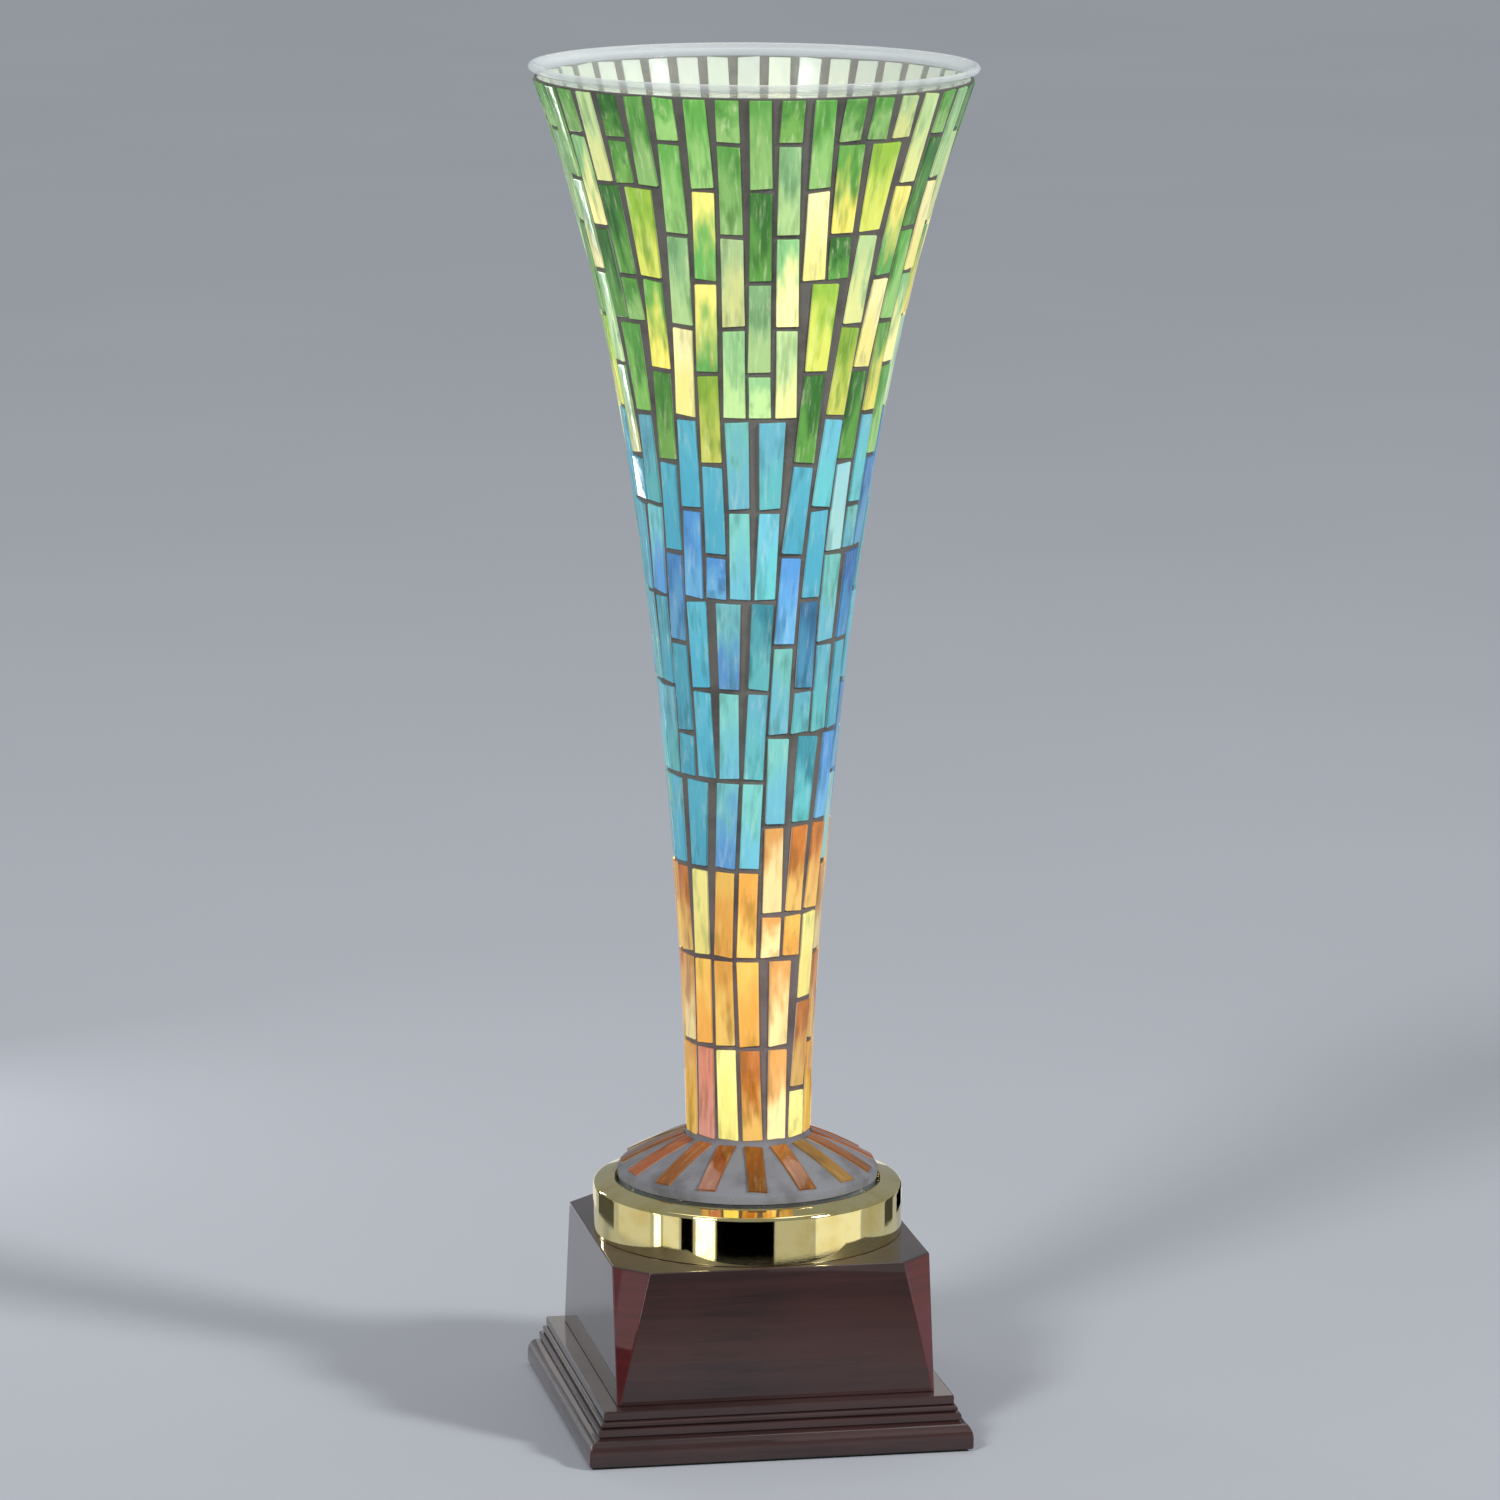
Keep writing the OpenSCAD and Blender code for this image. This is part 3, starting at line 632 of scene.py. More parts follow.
def pick_sheet(box, sheets, chance):
    """Any sheet of the zone, but a deeper green near the rim."""
    near_rim = box["centre"].z > mosaic_top - RIM_DEPTH
    return chance.choice(RIM_SHEETS if near_rim and sheets is GREEN_SHEETS else sheets)


def lay_strips(name, node, sheets, finish, slot, seed, crown=0.0):
    """All strips of one CAD node as one piece, with each point's place and glass stored on it."""
    chance = random.Random(seed)
    rings, around = 2 * len(END_EASE) + 3, len(SECTION)
    points, faces, notes, heads, tails, marks = [], [], [], [], [], []
    for box in BOXES[node]:
        start = len(points)
        strip_points, strip_notes = cut_strip(box, chance, crown)
        points += strip_points
        notes += strip_notes
        faces += [[start + k for k in face] for face in skin_faces(rings, around, False)]
        faces.append([start + k for k in range(around - 1, -1, -1)])
        faces.append([start + (rings - 1) * around + k for k in range(around)])
        sheet = SHEETS[pick_sheet(box, sheets, chance)]
        shade = chance.uniform(0.9, 1.06)
        colours = [paint(*(min(255, c * shade) for c in end)) for end in sheet]
        heads += [colours[0]] * len(strip_points)
        tails += [colours[1]] * len(strip_points)
        marks += [chance.random()] * len(strip_points)
    mesh = make_mesh(name, points, faces, crease=30, tidy=False)
    run, side, behind = zip(*notes)
    for label, values in (("run", run), ("side", side), ("behind", behind), ("mark", marks)):
        mesh.attributes.new(label, "FLOAT", "POINT").data.foreach_set("value", values)
    for label, colours in (("head", heads), ("tail", tails)):
        flat = [c for colour in colours for c in colour]
        mesh.attributes.new(label, "FLOAT_COLOR", "POINT").data.foreach_set("color", flat)
    place_piece(name, mesh, finish, slot, "lamp", node)


print("strips near the rim take one of", len(set(RIM_SHEETS)), "greens")

# %% [markdown]
# ## Finish of the strips
# Streaky glass changes slowly along the strip and quickly across it, so the noise is stretched
# along the strip. With the bulb lit the glass glows in its own colour, and that glow is painted:
# the same colour feeds the emission, brighter where the noise makes the glass thin. Painted shade
# dims it at a glance, where light has more glass to cross, and on the back. The back is left pale,
# as it is seen from inside.

# %% Strip glass


def strip_glass(name, glow, streak):
    """Streaky glass. The mark moves the pattern, so that no two strips are cut from one place."""
    desk = Desk(name)
    run, side = desk.attribute("run"), desk.attribute("side")
    mark, behind = desk.attribute("mark"), desk.attribute("behind")
    where = desk.node("ShaderNodeCombineXYZ", None, {0: side * 0.16 + mark * 61.0, 1: run * 1.1,
                                                     2: mark * 23.0})
    fine = desk.node("ShaderNodeCombineXYZ", None, {0: side * 0.55 + mark * 31.0, 1: run * 2.2,
                                                    2: mark * 47.0})
    cloud = desk.noise(where, 1.6, 2.0)
    streaks = desk.noise(fine, 1.2, 4.0, 0.6)
    blend = desk.ease(run + (cloud - 0.5) * 1.6, 0.15, 0.85)
    glass = desk.mix(blend, desk.attribute("head", 0), desk.attribute("tail", 0))
    light = desk.ease(streaks, 0.5, 0.85) * streak
    glass = desk.mix(light, glass, paint(250, 246, 206))
    deep = desk.ease(cloud + streaks * 0.5, 0.76, 0.5) * 0.6
    glass = desk.mix(deep, glass, desk.mix(1.0, glass, paint(176, 188, 178), "MULTIPLY"))
    glass = desk.mix(behind * 0.75, glass, paint(206, 212, 206))
    thin = desk.noise(where, 2.6, 2.0) * 0.5 + 0.72
    facing = desk.node("ShaderNodeLayerWeight", None, {"Blend": 0.4}, output=1)
    # Painted glow: emission stands in for the bulb's light through the glass, with painted shade at
    # a glance and on the back.
    painted_glow = desk.node("ShaderNodeVectorMath", {"operation": "SCALE"},
                    {0: glass, "Scale": thin * (1.0 - facing * 0.6) * (1.0 - behind * 0.45) * glow})
    ripple = desk.noise(desk.place(), 260.0, 2.0)
    return desk.finish({
        "Base Color": glass, "Roughness": 0.05 + streaks * 0.08 + behind * 0.4, "IOR": 1.52,
        "Emission Color": painted_glow, "Emission Strength": 1.0,
        "Normal": desk.bump(ripple, 0.12, 0.5)})


# glow sets the strength of each zone's painted glow.
green_glass = strip_glass("green_streaky_glass", glow=0.6, streak=0.32)
blue_glass = strip_glass("blue_streaky_glass", glow=0.34, streak=0.2)
amber_glass = strip_glass("amber_streaky_glass", glow=0.46, streak=0.12)
brown_glass = strip_glass("brown_streaky_glass", glow=0.1, streak=0.1)
print("the green strips' finish has", len(green_glass.node_tree.nodes), "nodes")

# %% [markdown]
# Each zone is laid with its own seed, so it comes out the same every time. The strips of the foot
# are crowned a little, because they follow a dome.

# %% Lay the strips
lay_strips("green_strips_cut", "green_strips", GREEN_SHEETS, green_glass, "green_glass", 11)
lay_strips("blue_strips_cut", "blue_strips", BLUE_SHEETS, blue_glass, "blue_glass", 29)
lay_strips("amber_strips_cut", "amber_strips", AMBER_SHEETS, amber_glass, "amber_glass", 37)
lay_strips("foot_strips_cut", "foot_strips", FOOT_SHEETS, brown_glass, "brown_glass", 41,
           crown=0.45)

# %% [markdown]
# ## Grout
# Sanded grout fills the joints to just under the face of the strips. A smooth lathe shape would
# look like plastic, so every point is pushed in or out a little by noise, and a fine bump adds the
# grains. On the foot the grout is painted paler and bluer as painted light, because more of it
# lies bare to the light.

# %% Grout piece


def grout_finish():
    desk = Desk("sanded_grout")
    where = desk.place()
    grains = desk.noise(where, 2600.0, 4.0, 0.7)
    cloud = desk.noise(where, 90.0, 3.0)
    height = desk.part(where, 2)
    # Painted light: the grout of the foot is painted paler and bluer, as it lies bare to the light.
    foot = desk.ease(height, 0.0945, 0.0900)
    low = desk.ease(height, 0.20, 0.15)
    colour = desk.mix(low, paint(104, 100, 94), paint(112, 100, 98))
    colour = desk.mix(foot, colour, paint(116, 117, 122))
    colour = desk.mix(desk.ease(cloud, 0.4, 0.75), colour,
                      desk.mix(1.0, colour, paint(200, 196, 196), "MULTIPLY"))
    colour = desk.mix(desk.ease(grains, 0.55, 0.75) * 0.4, colour, paint(176, 172, 166))
    return desk.finish({"Base Color": colour, "Roughness": 0.7 + grains * 0.2,
                        "Normal": desk.bump(grains + cloud, 0.12, 0.8)})


def grout_outline():
    """Section of the grout: down the trunk, over the foot, and back up inside."""
    cover, back, foot_rise = STRIP_FACE - 0.5, 0.75, 1.75
    trunk = [on_trunk(z, cover) for z in np.linspace(mosaic_top - 0.2, WAIST_Z, 190)]
    foot = [Vector((r, foot_curve(r) + foot_rise)) for r in np.linspace(20.0, 40.6, 26)]
    rim = [Vector((41.3, foot[-1].y - 0.9)), Vector((FOOT_EDGE_R, 77.6)), Vector((40.9, 77.5))]
    under = [Vector((r, foot_curve(r) + 0.6)) for r in np.linspace(40.0, 21.0, 10)]
    inside = [on_trunk(z, back) for z in np.linspace(WAIST_Z, mosaic_top - 0.2, 40)]
    return trunk + foot + rim + under + inside


GRAIN_DEPTH = 0.09 * MM
grout_mesh = turned("grout", grout_outline(), sides=240, crease=60)
for vertex in grout_mesh.vertices:
    flat = Vector((vertex.co.x, vertex.co.y, 0)).normalized()
    vertex.co += flat * (noise.noise(vertex.co * 900) * GRAIN_DEPTH)
place_piece("sanded_grout", grout_mesh, grout_finish(), "grout", "lamp", "grout_bed")

# %% [markdown]
# ## The blown vessel
# Under the mosaic is a clear blown vessel, 2 mm thick, whose rim was melted round in the fire. Only
# that lip and the inside are seen. Bending light through it would cost many samples and show
# little, so the wall is mostly see-through and turns solid and bright at the lip and at a glance.
# That brightness is painted: a faint glow at the lip is a painted highlight, and the pale wall
# that shows at a glance is a painted sheen.

# %% Vessel


def clear_glass_finish():
    desk = Desk("clear_blown_glass")
    where = desk.place()
    height = desk.part(where, 2)
    lip = desk.ease(height, 0.4255, 0.4285)
    cords = desk.noise(desk.place((1, 1, 6)), 60.0, 2.0)
    facing = desk.node("ShaderNodeLayerWeight", None, {"Blend": 0.3}, output=1)
    return desk.finish({
        # Painted highlight and sheen: the lip glows faintly and turns paler, and at a glance the
        # pale wall shows more.
        "Base Color": desk.mix(lip, paint(206, 216, 213), paint(218, 224, 224)),
        "Roughness": 0.04 + cords * 0.05, "IOR": 1.5,
        "Alpha": 0.08 + facing * 0.3 + lip * (0.06 + facing * 0.5),
        "Emission Color": desk.mix(lip, (0, 0, 0, 1), paint(56, 60, 62)), "Emission Strength": 1.0,
        "Normal": desk.bump(cords, 0.2, 0.4)})


def vessel_outline():
    """Section of the vessel: up the outside, over the lip, down the inside, round the foot."""
    outer, inner, lip_round = -0.55, -2.55, 1.05
    trunk_end = mosaic_top - 0.4
    outside = [on_trunk(z, outer) for z in np.linspace(WAIST_Z, trunk_end, 70)]
    lip = arc((lip_r - lip_round, total_h - lip_round), lip_round, -50, 145, 15)
    inside = [on_trunk(z, inner) for z in np.linspace(trunk_end, WAIST_Z, 70)]
    dome = [Vector((r, foot_curve(r) - 2.6)) for r in np.linspace(21, 36, 8)]
    base = eased([(37.4, 75.4), (37.4, 72.35), (41.1, 72.35), (41.1, 77.3)], 0.5)
    top = [Vector((r, foot_curve(r) - 0.35)) for r in np.linspace(39, 21, 10)]
    inner_waist, outer_waist = [(16.4, 88.6)], [(18.5, 89.5)]
    return outside + lip + inside + inner_waist + dome + base + top + outer_waist


place_piece("blown_vessel", turned("vessel", vessel_outline(), 192), clear_glass_finish(),
            "clear_glass", "lamp", "glass_vessel")

# %% [markdown]
# ## Metals
# The collar is polished and lacquered brass, the screws and nuts are zinc plated, and the bulb's
# cap is nickel. They differ in colour and in how finely they were worked. Fine lines run round the
# pieces, as a lathe leaves them, and the polish is slightly uneven.

# %% Metal finishes


def metal(name, light, dark, roughness, lines=0.015, lathe=(300, 300, 9000)):
    desk = Desk(name)
    turning = desk.noise(desk.place(lathe), 1.0, 2.0)
    cloud = desk.noise(desk.place(), 120.0, 4.0)
    speck = desk.ease(desk.noise(desk.place(), 1500.0, 2.0), 0.66, 0.74)
    colour = desk.mix(desk.ease(cloud, 0.4, 0.75), light, dark)
    colour = desk.mix(speck * 0.25, colour, desk.mix(1.0, colour, dark, "MULTIPLY"))
    return desk.finish({"Base Color": colour, "Metallic": 1.0,
                        "Roughness": roughness + cloud * roughness * 0.6 + speck * 0.08,
                        "Normal": desk.bump(turning, lines, 0.5)})


polished_brass = metal("polished_brass", paint(246, 232, 168), paint(236, 214, 138), 0.035, 0.004)
turned_brass = metal("turned_brass", paint(226, 192, 116), paint(196, 156, 84), 0.2)
thread_brass = metal("thread_brass", paint(218, 184, 106), paint(180, 142, 74), 0.26)
shell_brass = metal("shell_brass", paint(226, 198, 128), paint(190, 158, 92), 0.22)
bronze = metal("contact_bronze", paint(206, 142, 96), paint(170, 104, 66), 0.25)
zinc = metal("zinc_plate", paint(200, 200, 196), paint(166, 166, 158), 0.28)
nickel = metal("nickel_plate", paint(214, 210, 202), paint(182, 178, 168), 0.16)
solder = metal("solder", paint(196, 198, 200), paint(150, 152, 156), 0.4, 0.05, (800, 800, 800))
tungsten = metal("tungsten_wire", paint(150, 150, 148), paint(110, 110, 108), 0.4)
print("a metal has", len(zinc.node_tree.nodes), "nodes")

# %% [markdown]
# ## The collar
# The collar is turned from one ring of brass: a plain wall, a rounded shoulder, a top that rises
# gently towards the glass, and a step inside that the glass foot sits in. One outline gives all of
# it, and its edges are eased like those of every other piece.

# %% Collar


def collar_outline():
    low, high = span("collar")
    outer, seat, seat_z, bore = high.x, 42.0, 71.3, 36.0
    crown, shoulder_r = high.z - 1.6, 1.3
    shoulder = arc((outer - shoulder_r, crown - shoulder_r), shoulder_r, 0, 76, 9)
    return eased([(bore, low.z), (outer, low.z), *shoulder, (seat + 1.0, high.z - 0.05),
                  (seat, high.z - 0.35), (seat, seat_z), (bore, seat_z)], 0.3)


place_piece("collar_turned", turned("collar", collar_outline(), 256, crease=50), polished_brass,
            "polished_brass", "lamp", "collar")

# %% [markdown]
# ## The lacquered base
# The base is a block with four tapering corner facets on a moulded plinth, stained red-brown and
# lacquered to a mirror. A dark grain runs level through the wood. The corner facets cut across the
# grain and drink more stain, so they come out redder, and the direction of the surface picks them.
# The clear coat does the shining: it makes the left side look pale and the front look deep.

# %% Lacquered wood


def lacquer_finish():
    desk = Desk("lacquered_wood")
    ring = desk.noise(desk.place((14, 14, 240)), 1.0, 5.0, 0.65)
    pore = desk.noise(desk.place((60, 60, 2600)), 1.0, 3.0)
    cloud = desk.noise(desk.place(), 22.0, 2.0)
    stain = desk.mix(desk.ease(ring, 0.35, 0.68), paint(57, 38, 36), paint(41, 30, 30))
    stain = desk.mix(desk.ease(pore, 0.58, 0.72) * 0.5, stain, paint(28, 14, 14))
    stain = desk.mix(desk.ease(cloud, 0.4, 0.65) * 0.4, stain, paint(66, 40, 38))
    normal = desk.node("ShaderNodeNewGeometry", output=3)
    east, north = desk.part(normal, 0), desk.part(normal, 1)
    corner = desk.ease(east.maths("ABSOLUTE", east * north), 0.2, 0.4)
    red = desk.mix(desk.ease(ring, 0.3, 0.7), paint(88, 15, 18), paint(68, 10, 13))
    return desk.finish({
        "Base Color": desk.mix(corner * 0.9, stain, red), "Roughness": 0.38 + pore * 0.12,
        "Specular IOR Level": 0.15, "Coat Weight": 0.92 + cloud * 0.08, "Coat Roughness": 0.035,
        "Coat IOR": 1.52, "Normal": desk.bump(ring + pore * 0.4, 0.04, 0.4)})


lacquer = lacquer_finish()
print("the lacquer has", len(lacquer.node_tree.nodes), "nodes")

# %% [markdown]
# ## The plinth
# The plinth's edge is one moulding run round a square: foot, ogee, fillet, bead, cove and top
# fillet. Each level of it is a square loop, and the loops are skinned from the outside over the top
# and down through the hollow underneath.

# %% Plinth


def square_loop(half, z, corner=0.35, steps=3):
    """A square with softly rounded corners."""
    points = []
    for quarter, (sx, sy) in enumerate(((1, 1), (-1, 1), (-1, -1), (1, -1))):
        for k in range(steps + 1):
            angle = math.radians(90 * quarter + 90 * k / steps)
            points.append((sx * (half - corner) + corner * math.cos(angle),
                           sy * (half - corner) + corner * math.sin(angle), z))
    return points


def plinth_edge():
    """Half-width and height up the moulding: foot, ogee, fillet, bead, cove and top fillet."""
    low, high = span("plinth")
    wide, top, step = high.x, high.z, 55.7
    foot = [(wide - 0.7, low.z), (wide - 0.2, low.z + 0.15), (wide, low.z + 0.7), (wide, 3.9)]
    ogee = [(wide - 3 + 3 * math.cos(a) ** 0.9, 4 + 4.8 * math.sin(a))
            for a in np.radians(np.arange(6, 91, 7))]
    fillet = [(wide - 3.9, 9.1), (wide - 3.7, 9.3), (wide - 3.3, 9.7), (wide - 3.25, 10.6),
              (wide - 3.35, 11.4), (wide - 3.7, 11.75), (wide - 5.0, 11.85)]
    bead = arc((step + 0.05, 12.95), 1.0, -70, 71, 14)
    top_fillet = [(step - 0.6, 14.05), (step - 0.15, 14.25), (step, 14.5), (step, top - 0.45),
                  (step - 0.13, top - 0.12), (step - 0.45, top)]
    return foot + ogee + fillet + bead + top_fillet


def plinth_loops():
    low, high = span("plinth")
    recess, well, ceiling = 46.0, 34.0, low.z + 2.2
    loops = [square_loop(half, z) for half, z in plinth_edge()]
    loops += [square_loop(half, z) for half, z in (
        (well, high.z), (well, ceiling), (recess, ceiling), (recess, low.z))]
    return loops


place_piece("plinth_moulded", stacked("plinth", plinth_loops(), 28), lacquer, "lacquered_wood",
            "lamp", "plinth")

# %% [markdown]
# ## The block
# The block is square at its foot, and its corners are cut off more and more towards the top, which
# leaves four tall triangles. Each level is a square with cut corners, and the levels change evenly.

# %% Block


def faceted_square(half, facet, inset):
    """A square whose corners are cut off, with each new corner softened."""
    half -= inset
    reach = half - facet
    outline = [(half, reach), (reach, half), (-reach, half), (-half, reach),
               (-half, -reach), (-reach, -half), (reach, -half), (half, -reach)]
    return eased(outline, 0.45)


def block_loops():
    low, high = span("base_block")
    well, roof, hole = 30.0, 51.0, 5.1
    facet_foot, facet_top, edge_r = 0.8, 10.2, 0.6

    def outside(z, inset):
        share = (z - low.z) / (high.z - low.z)
        facet = facet_foot + (facet_top - facet_foot) * share
        return [(p.x, p.y, z) for p in faceted_square(high.x, facet, inset)]

    loops = [outside(low.z, 0.3), outside(low.z + 0.3, 0)]
    loops += [outside(z, 0) for z in np.linspace(low.z + 8, high.z - 8, 4)]
    loops += [outside(z, edge_r - x) for x, z in arc((0, high.z - edge_r), edge_r, 0, 91, 30)]
    angles = [math.atan2(y, x) for x, y, z in loops[0]]
    return loops + [circle(hole, high.z, angles), circle(hole, roof, angles),
                    circle(well, roof, angles), circle(well, low.z, angles)]


place_piece("block_faceted", stacked("block", block_loops(), 28), lacquer, "lacquered_wood",
            "lamp", "base_block")

# %% [markdown]
# ## Felt, board, rubber, plastics and ceramics
# The hidden pieces are simple mouldings and pressings, but each has its own skin: napped felt,
# pressed board, moulded rubber and nylon with a fine grain, glazed porcelain with a soft waviness.
# One function makes them all from two colours, a roughness and the size and depth of the grain.

# %% Moulded and pressed finishes


def moulded(name, colour, shade, roughness, grain, depth, coat=0.0):
    desk = Desk(name)
    fine = desk.noise(desk.place(), grain, 4.0, 0.6)
    cloud = desk.noise(desk.place(), grain / 12, 3.0)
    tone = desk.mix(desk.ease(cloud + fine * 0.4, 0.45, 0.95), colour, shade)
    return desk.finish({"Base Color": tone, "Roughness": roughness + fine * 0.12,
                        "Coat Weight": coat, "Coat Roughness": 0.05,
                        "Normal": desk.bump(fine, depth, 0.6)})


# Colour, shade, roughness, scale and depth of the grain, and a clear coat if there is one.
MOULDINGS = {
    "napped_felt": ((44, 58, 50), (70, 86, 76), 0.85, 2800.0, 0.3),
    "pressed_board": ((116, 92, 68), (88, 66, 48), 0.6, 900.0, 0.06),
    "black_rubber": ((30, 30, 32), (46, 46, 48), 0.62, 1800.0, 0.05),
    "black_nylon": ((28, 28, 29), (40, 40, 42), 0.42, 2200.0, 0.03),
    "terminal_plastic": ((232, 228, 214), (216, 210, 192), 0.4, 1500.0, 0.02),
    "glazed_porcelain": ((240, 238, 230), (226, 222, 208), 0.22, 300.0, 0.05, 1.0),
    "bare_ceramic": ((224, 216, 200), (202, 192, 174), 0.7, 2400.0, 0.05),
    "brown_insulation": ((104, 58, 32), (86, 46, 26), 0.32, 700.0, 0.03, 0.3),
    "blue_insulation": ((46, 98, 172), (36, 78, 144), 0.32, 700.0, 0.03, 0.3),
    "black_glass": ((16, 16, 18), (28, 28, 30), 0.08, 500.0, 0.02, 1.0),
    "stem_glass": ((214, 224, 224), (190, 204, 206), 0.06, 300.0, 0.02, 1.0),
}
moulding = {name: moulded(name, paint(*colour), paint(*shade), *feel)
            for name, (colour, shade, *feel) in MOULDINGS.items()}
print(len(moulding), "moulded finishes")

# %% [markdown]
# ## The felt pad
# A square frame of felt under the base keeps it from scratching a table. Felt has no sharp edge, so
# its loops step in a little at the top and bottom.

# %% Felt pad


def felt_loops():
    low, high = span("felt_pad")
    half, opening, corner, top = high.x, 20, 2, high.z - 0.02
    return [square_loop(size, z, corner) for size, z in (
        (half - 0.25, low.z), (half, low.z + 0.2), (half, high.z - 0.25), (half - 0.3, top),
        (opening, top), (opening, low.z))]


place_piece("felt_pad_napped", stacked("felt", felt_loops(), 40), moulding["napped_felt"],
            "felt", "lamp", "felt_pad")

# %% [markdown]
# ## The cord bush
# A nylon bush lines the hole where the cord comes in. Its flange rests on the back of the block,
# and the ribs round its sleeve grip the wood. It is turned upright and then laid on its side.

# %% Cord bush
low, high = span("cord_bush")
flange_t, sleeve_r, bore_r, ribs = 1.6, 4.95, 3.3, 4
sleeve_end = high.y - low.y
sleeve = [(sleeve_r - 0.25 * (k % 2), flange_t + 1 + k * (sleeve_end - flange_t - 2) / (2 * ribs))
          for k in range(2 * ribs + 1)]
bush_outline = eased([(bore_r + 0.5, 0), (7.0, 0), (7.0, flange_t), (sleeve_r, flange_t), *sleeve,
                      (sleeve_r - 0.3, sleeve_end), (bore_r, sleeve_end), (bore_r, 0.5)], 0.4)
bush_mesh = turned("cord_bush", bush_outline, 72, crease=50)
bush_mesh.transform(Matrix.Translation((0, high.y * MM, (low.z + high.z) / 2 * MM))
                    @ Matrix.Rotation(math.radians(90), 4, "X"))
place_piece("cord_bush_ribbed", bush_mesh, moulding["black_nylon"], "black_nylon", "lamp",
            "cord_bush")

# %% [markdown]
# ## Nuts, washers, seal and threaded pipe
# The hidden hardware is what holds the lamp together. A nut's corners are turned off to a cone at
# both ends, so its loops stay hexagonal in the middle and drop along that cone at the ends.

# %% Nuts


def nut_loops(node, bore, corner_share=0.9):
    low, high = span(node)
    points, cone_slope = 8, 0.58
    angles = np.radians(np.arange(6 * points) * 60 / points)
    flat = high.x * math.cos(math.radians(30))
    radii = [flat / math.cos((a % math.radians(60)) - math.radians(30)) for a in angles]
    drop = [max(0, r - high.x * corner_share) * cone_slope for r in radii]

    def loop(size, z, sign=0):
        return [(r * math.cos(a), r * math.sin(a), z + sign * d)
                for r, a, d in zip(size, angles, drop)]

    crown, mouth = high.x * corner_share - 0.6, 0.5
    return [circle(bore + mouth, low.z, angles), circle(crown, low.z, angles),
            loop(radii, low.z + 0.25, 1), loop(radii, high.z - 0.25, -1),
            circle(crown, high.z, angles), circle(bore + mouth, high.z, angles),
            circle(bore, high.z - mouth, angles), circle(bore, low.z + mouth, angles)]


pipe_r = span("lamp_pipe")[1].x
on_pipe = pipe_r + 0.05
for node in ("lower_nut", "upper_nut", "clamp_nut", "socket_nut"):
    place_piece(node + "_chamfered", stacked(node, nut_loops(node, on_pipe), 25), zinc,
                "steel_screws", "lamp", node)

# %% [markdown]
# A washer is a flat ring, and the rubber seal under the glass foot is a soft one. Both are a
# rectangle turned on a lathe, with its corners eased.

# %% Washers and seal


def ring_piece(node, bore, ease, finish, slot):
    """A washer or seal: a flat ring with eased edges."""
    low, high = span(node)
    outline = eased([(bore, low.z), (high.x, low.z), (high.x, high.z), (bore, high.z)], ease)
    place_piece(node + "_eased", turned(node, outline, 96), finish, slot, "lamp", node)


for node in ("lower_washer", "upper_washer", "clamp_washer"):
    ring_piece(node, on_pipe, 0.3, zinc, "steel_screws")
ring_piece("foot_seal", 37.2, 0.45, moulding["black_rubber"], "black_rubber")

# %% [markdown]
# The pipe is threaded from end to end, so that the nuts can sit anywhere on it. The rubber bush
# that grips the trunk from inside has shallow grooves, and widens a little upwards as the trunk
# does.

# %% Pipe and clamp bush
PIPE_PITCH, PIPE_THREAD, PIPE_BORE = 1.5, 0.45, 3.6
low, high = span("lamp_pipe")
pipe_mesh = threaded("lamp_pipe", pipe_r, PIPE_THREAD, PIPE_PITCH, low.z, high.z, PIPE_BORE, 32, 5)
place_piece("lamp_pipe_threaded", pipe_mesh, thread_brass, "threaded_brass", "lamp", "lamp_pipe")

low, high = span("clamp_bush")
taper, groove, steps = 0.9, 0.35, 8
grooves = [(high.x - taper * (1 - k / steps) - groove * (k % 2),
            low.z + (high.z - low.z) * k / steps) for k in range(steps + 1)]
bush_outline = eased([(on_pipe, low.z), *grooves, (on_pipe, high.z)], 0.5)
place_piece("clamp_bush_grooved", turned("clamp_bush", bush_outline, 96, crease=50),
            moulding["black_rubber"], "black_rubber", "lamp", "clamp_bush")

# %% [markdown]
# ## Lampholder
# A brass cup screws onto the pipe and carries a glazed porcelain body. Inside it a rolled brass
# shell takes the bulb's thread. The rolled threads are round waves, not sharp ones, because they
# are pressed into thin sheet.

# %% Lampholder pieces
low, high = span("socket_cup")
wall, floor_t = 1.15, 1.2
cup = [(on_pipe, low.z), (high.x - 0.6, low.z), (high.x, low.z + 0.8), (high.x, high.z - 1.4),
       (high.x, high.z), (high.x - wall, high.z), (high.x - wall, low.z + floor_t),
       (on_pipe, low.z + floor_t)]
place_piece("socket_cup_spun", turned("socket_cup", eased(cup, 0.45), 96), turned_brass,
            "threaded_brass", "lamp", "socket_cup")

low, high = span("socket_body")
seat_r, bore_r, step_z = 8.6, 7.2, low.z + 12
body = [(bore_r, low.z), (high.x - 0.5, low.z), (high.x, low.z + 1), (high.x, low.z + 14),
        (high.x - 0.5, low.z + 15.5), (high.x - 0.5, high.z - 3), (high.x, high.z - 2),
        (high.x, high.z), (seat_r, high.z), (seat_r, step_z), (bore_r, step_z)]
place_piece("socket_body_glazed", turned("socket_body", eased(body, 0.6), 96),
            moulding["glazed_porcelain"], "glazed_porcelain", "lamp", "socket_body")

BULB_PITCH = 2.8
low, high = span("socket_shell")
shell_mesh = threaded("socket_shell", high.x, 0.25, BULB_PITCH, low.z + 0.5, high.z, high.x - 0.35,
                      sides=72, rows=12, follow=True)
place_piece("socket_shell_rolled", shell_mesh, shell_brass, "shell_brass", "lamp", "socket_shell")

# %% [markdown]
# ## The bulb
# A small round bulb with a white coating inside its glass. Lit, it is brightest round the filament
# and dimmer at the neck, so its emission falls off with height. It also lights the inside of the
# vessel, which is what shows through the mouth.

# %% Opal glass


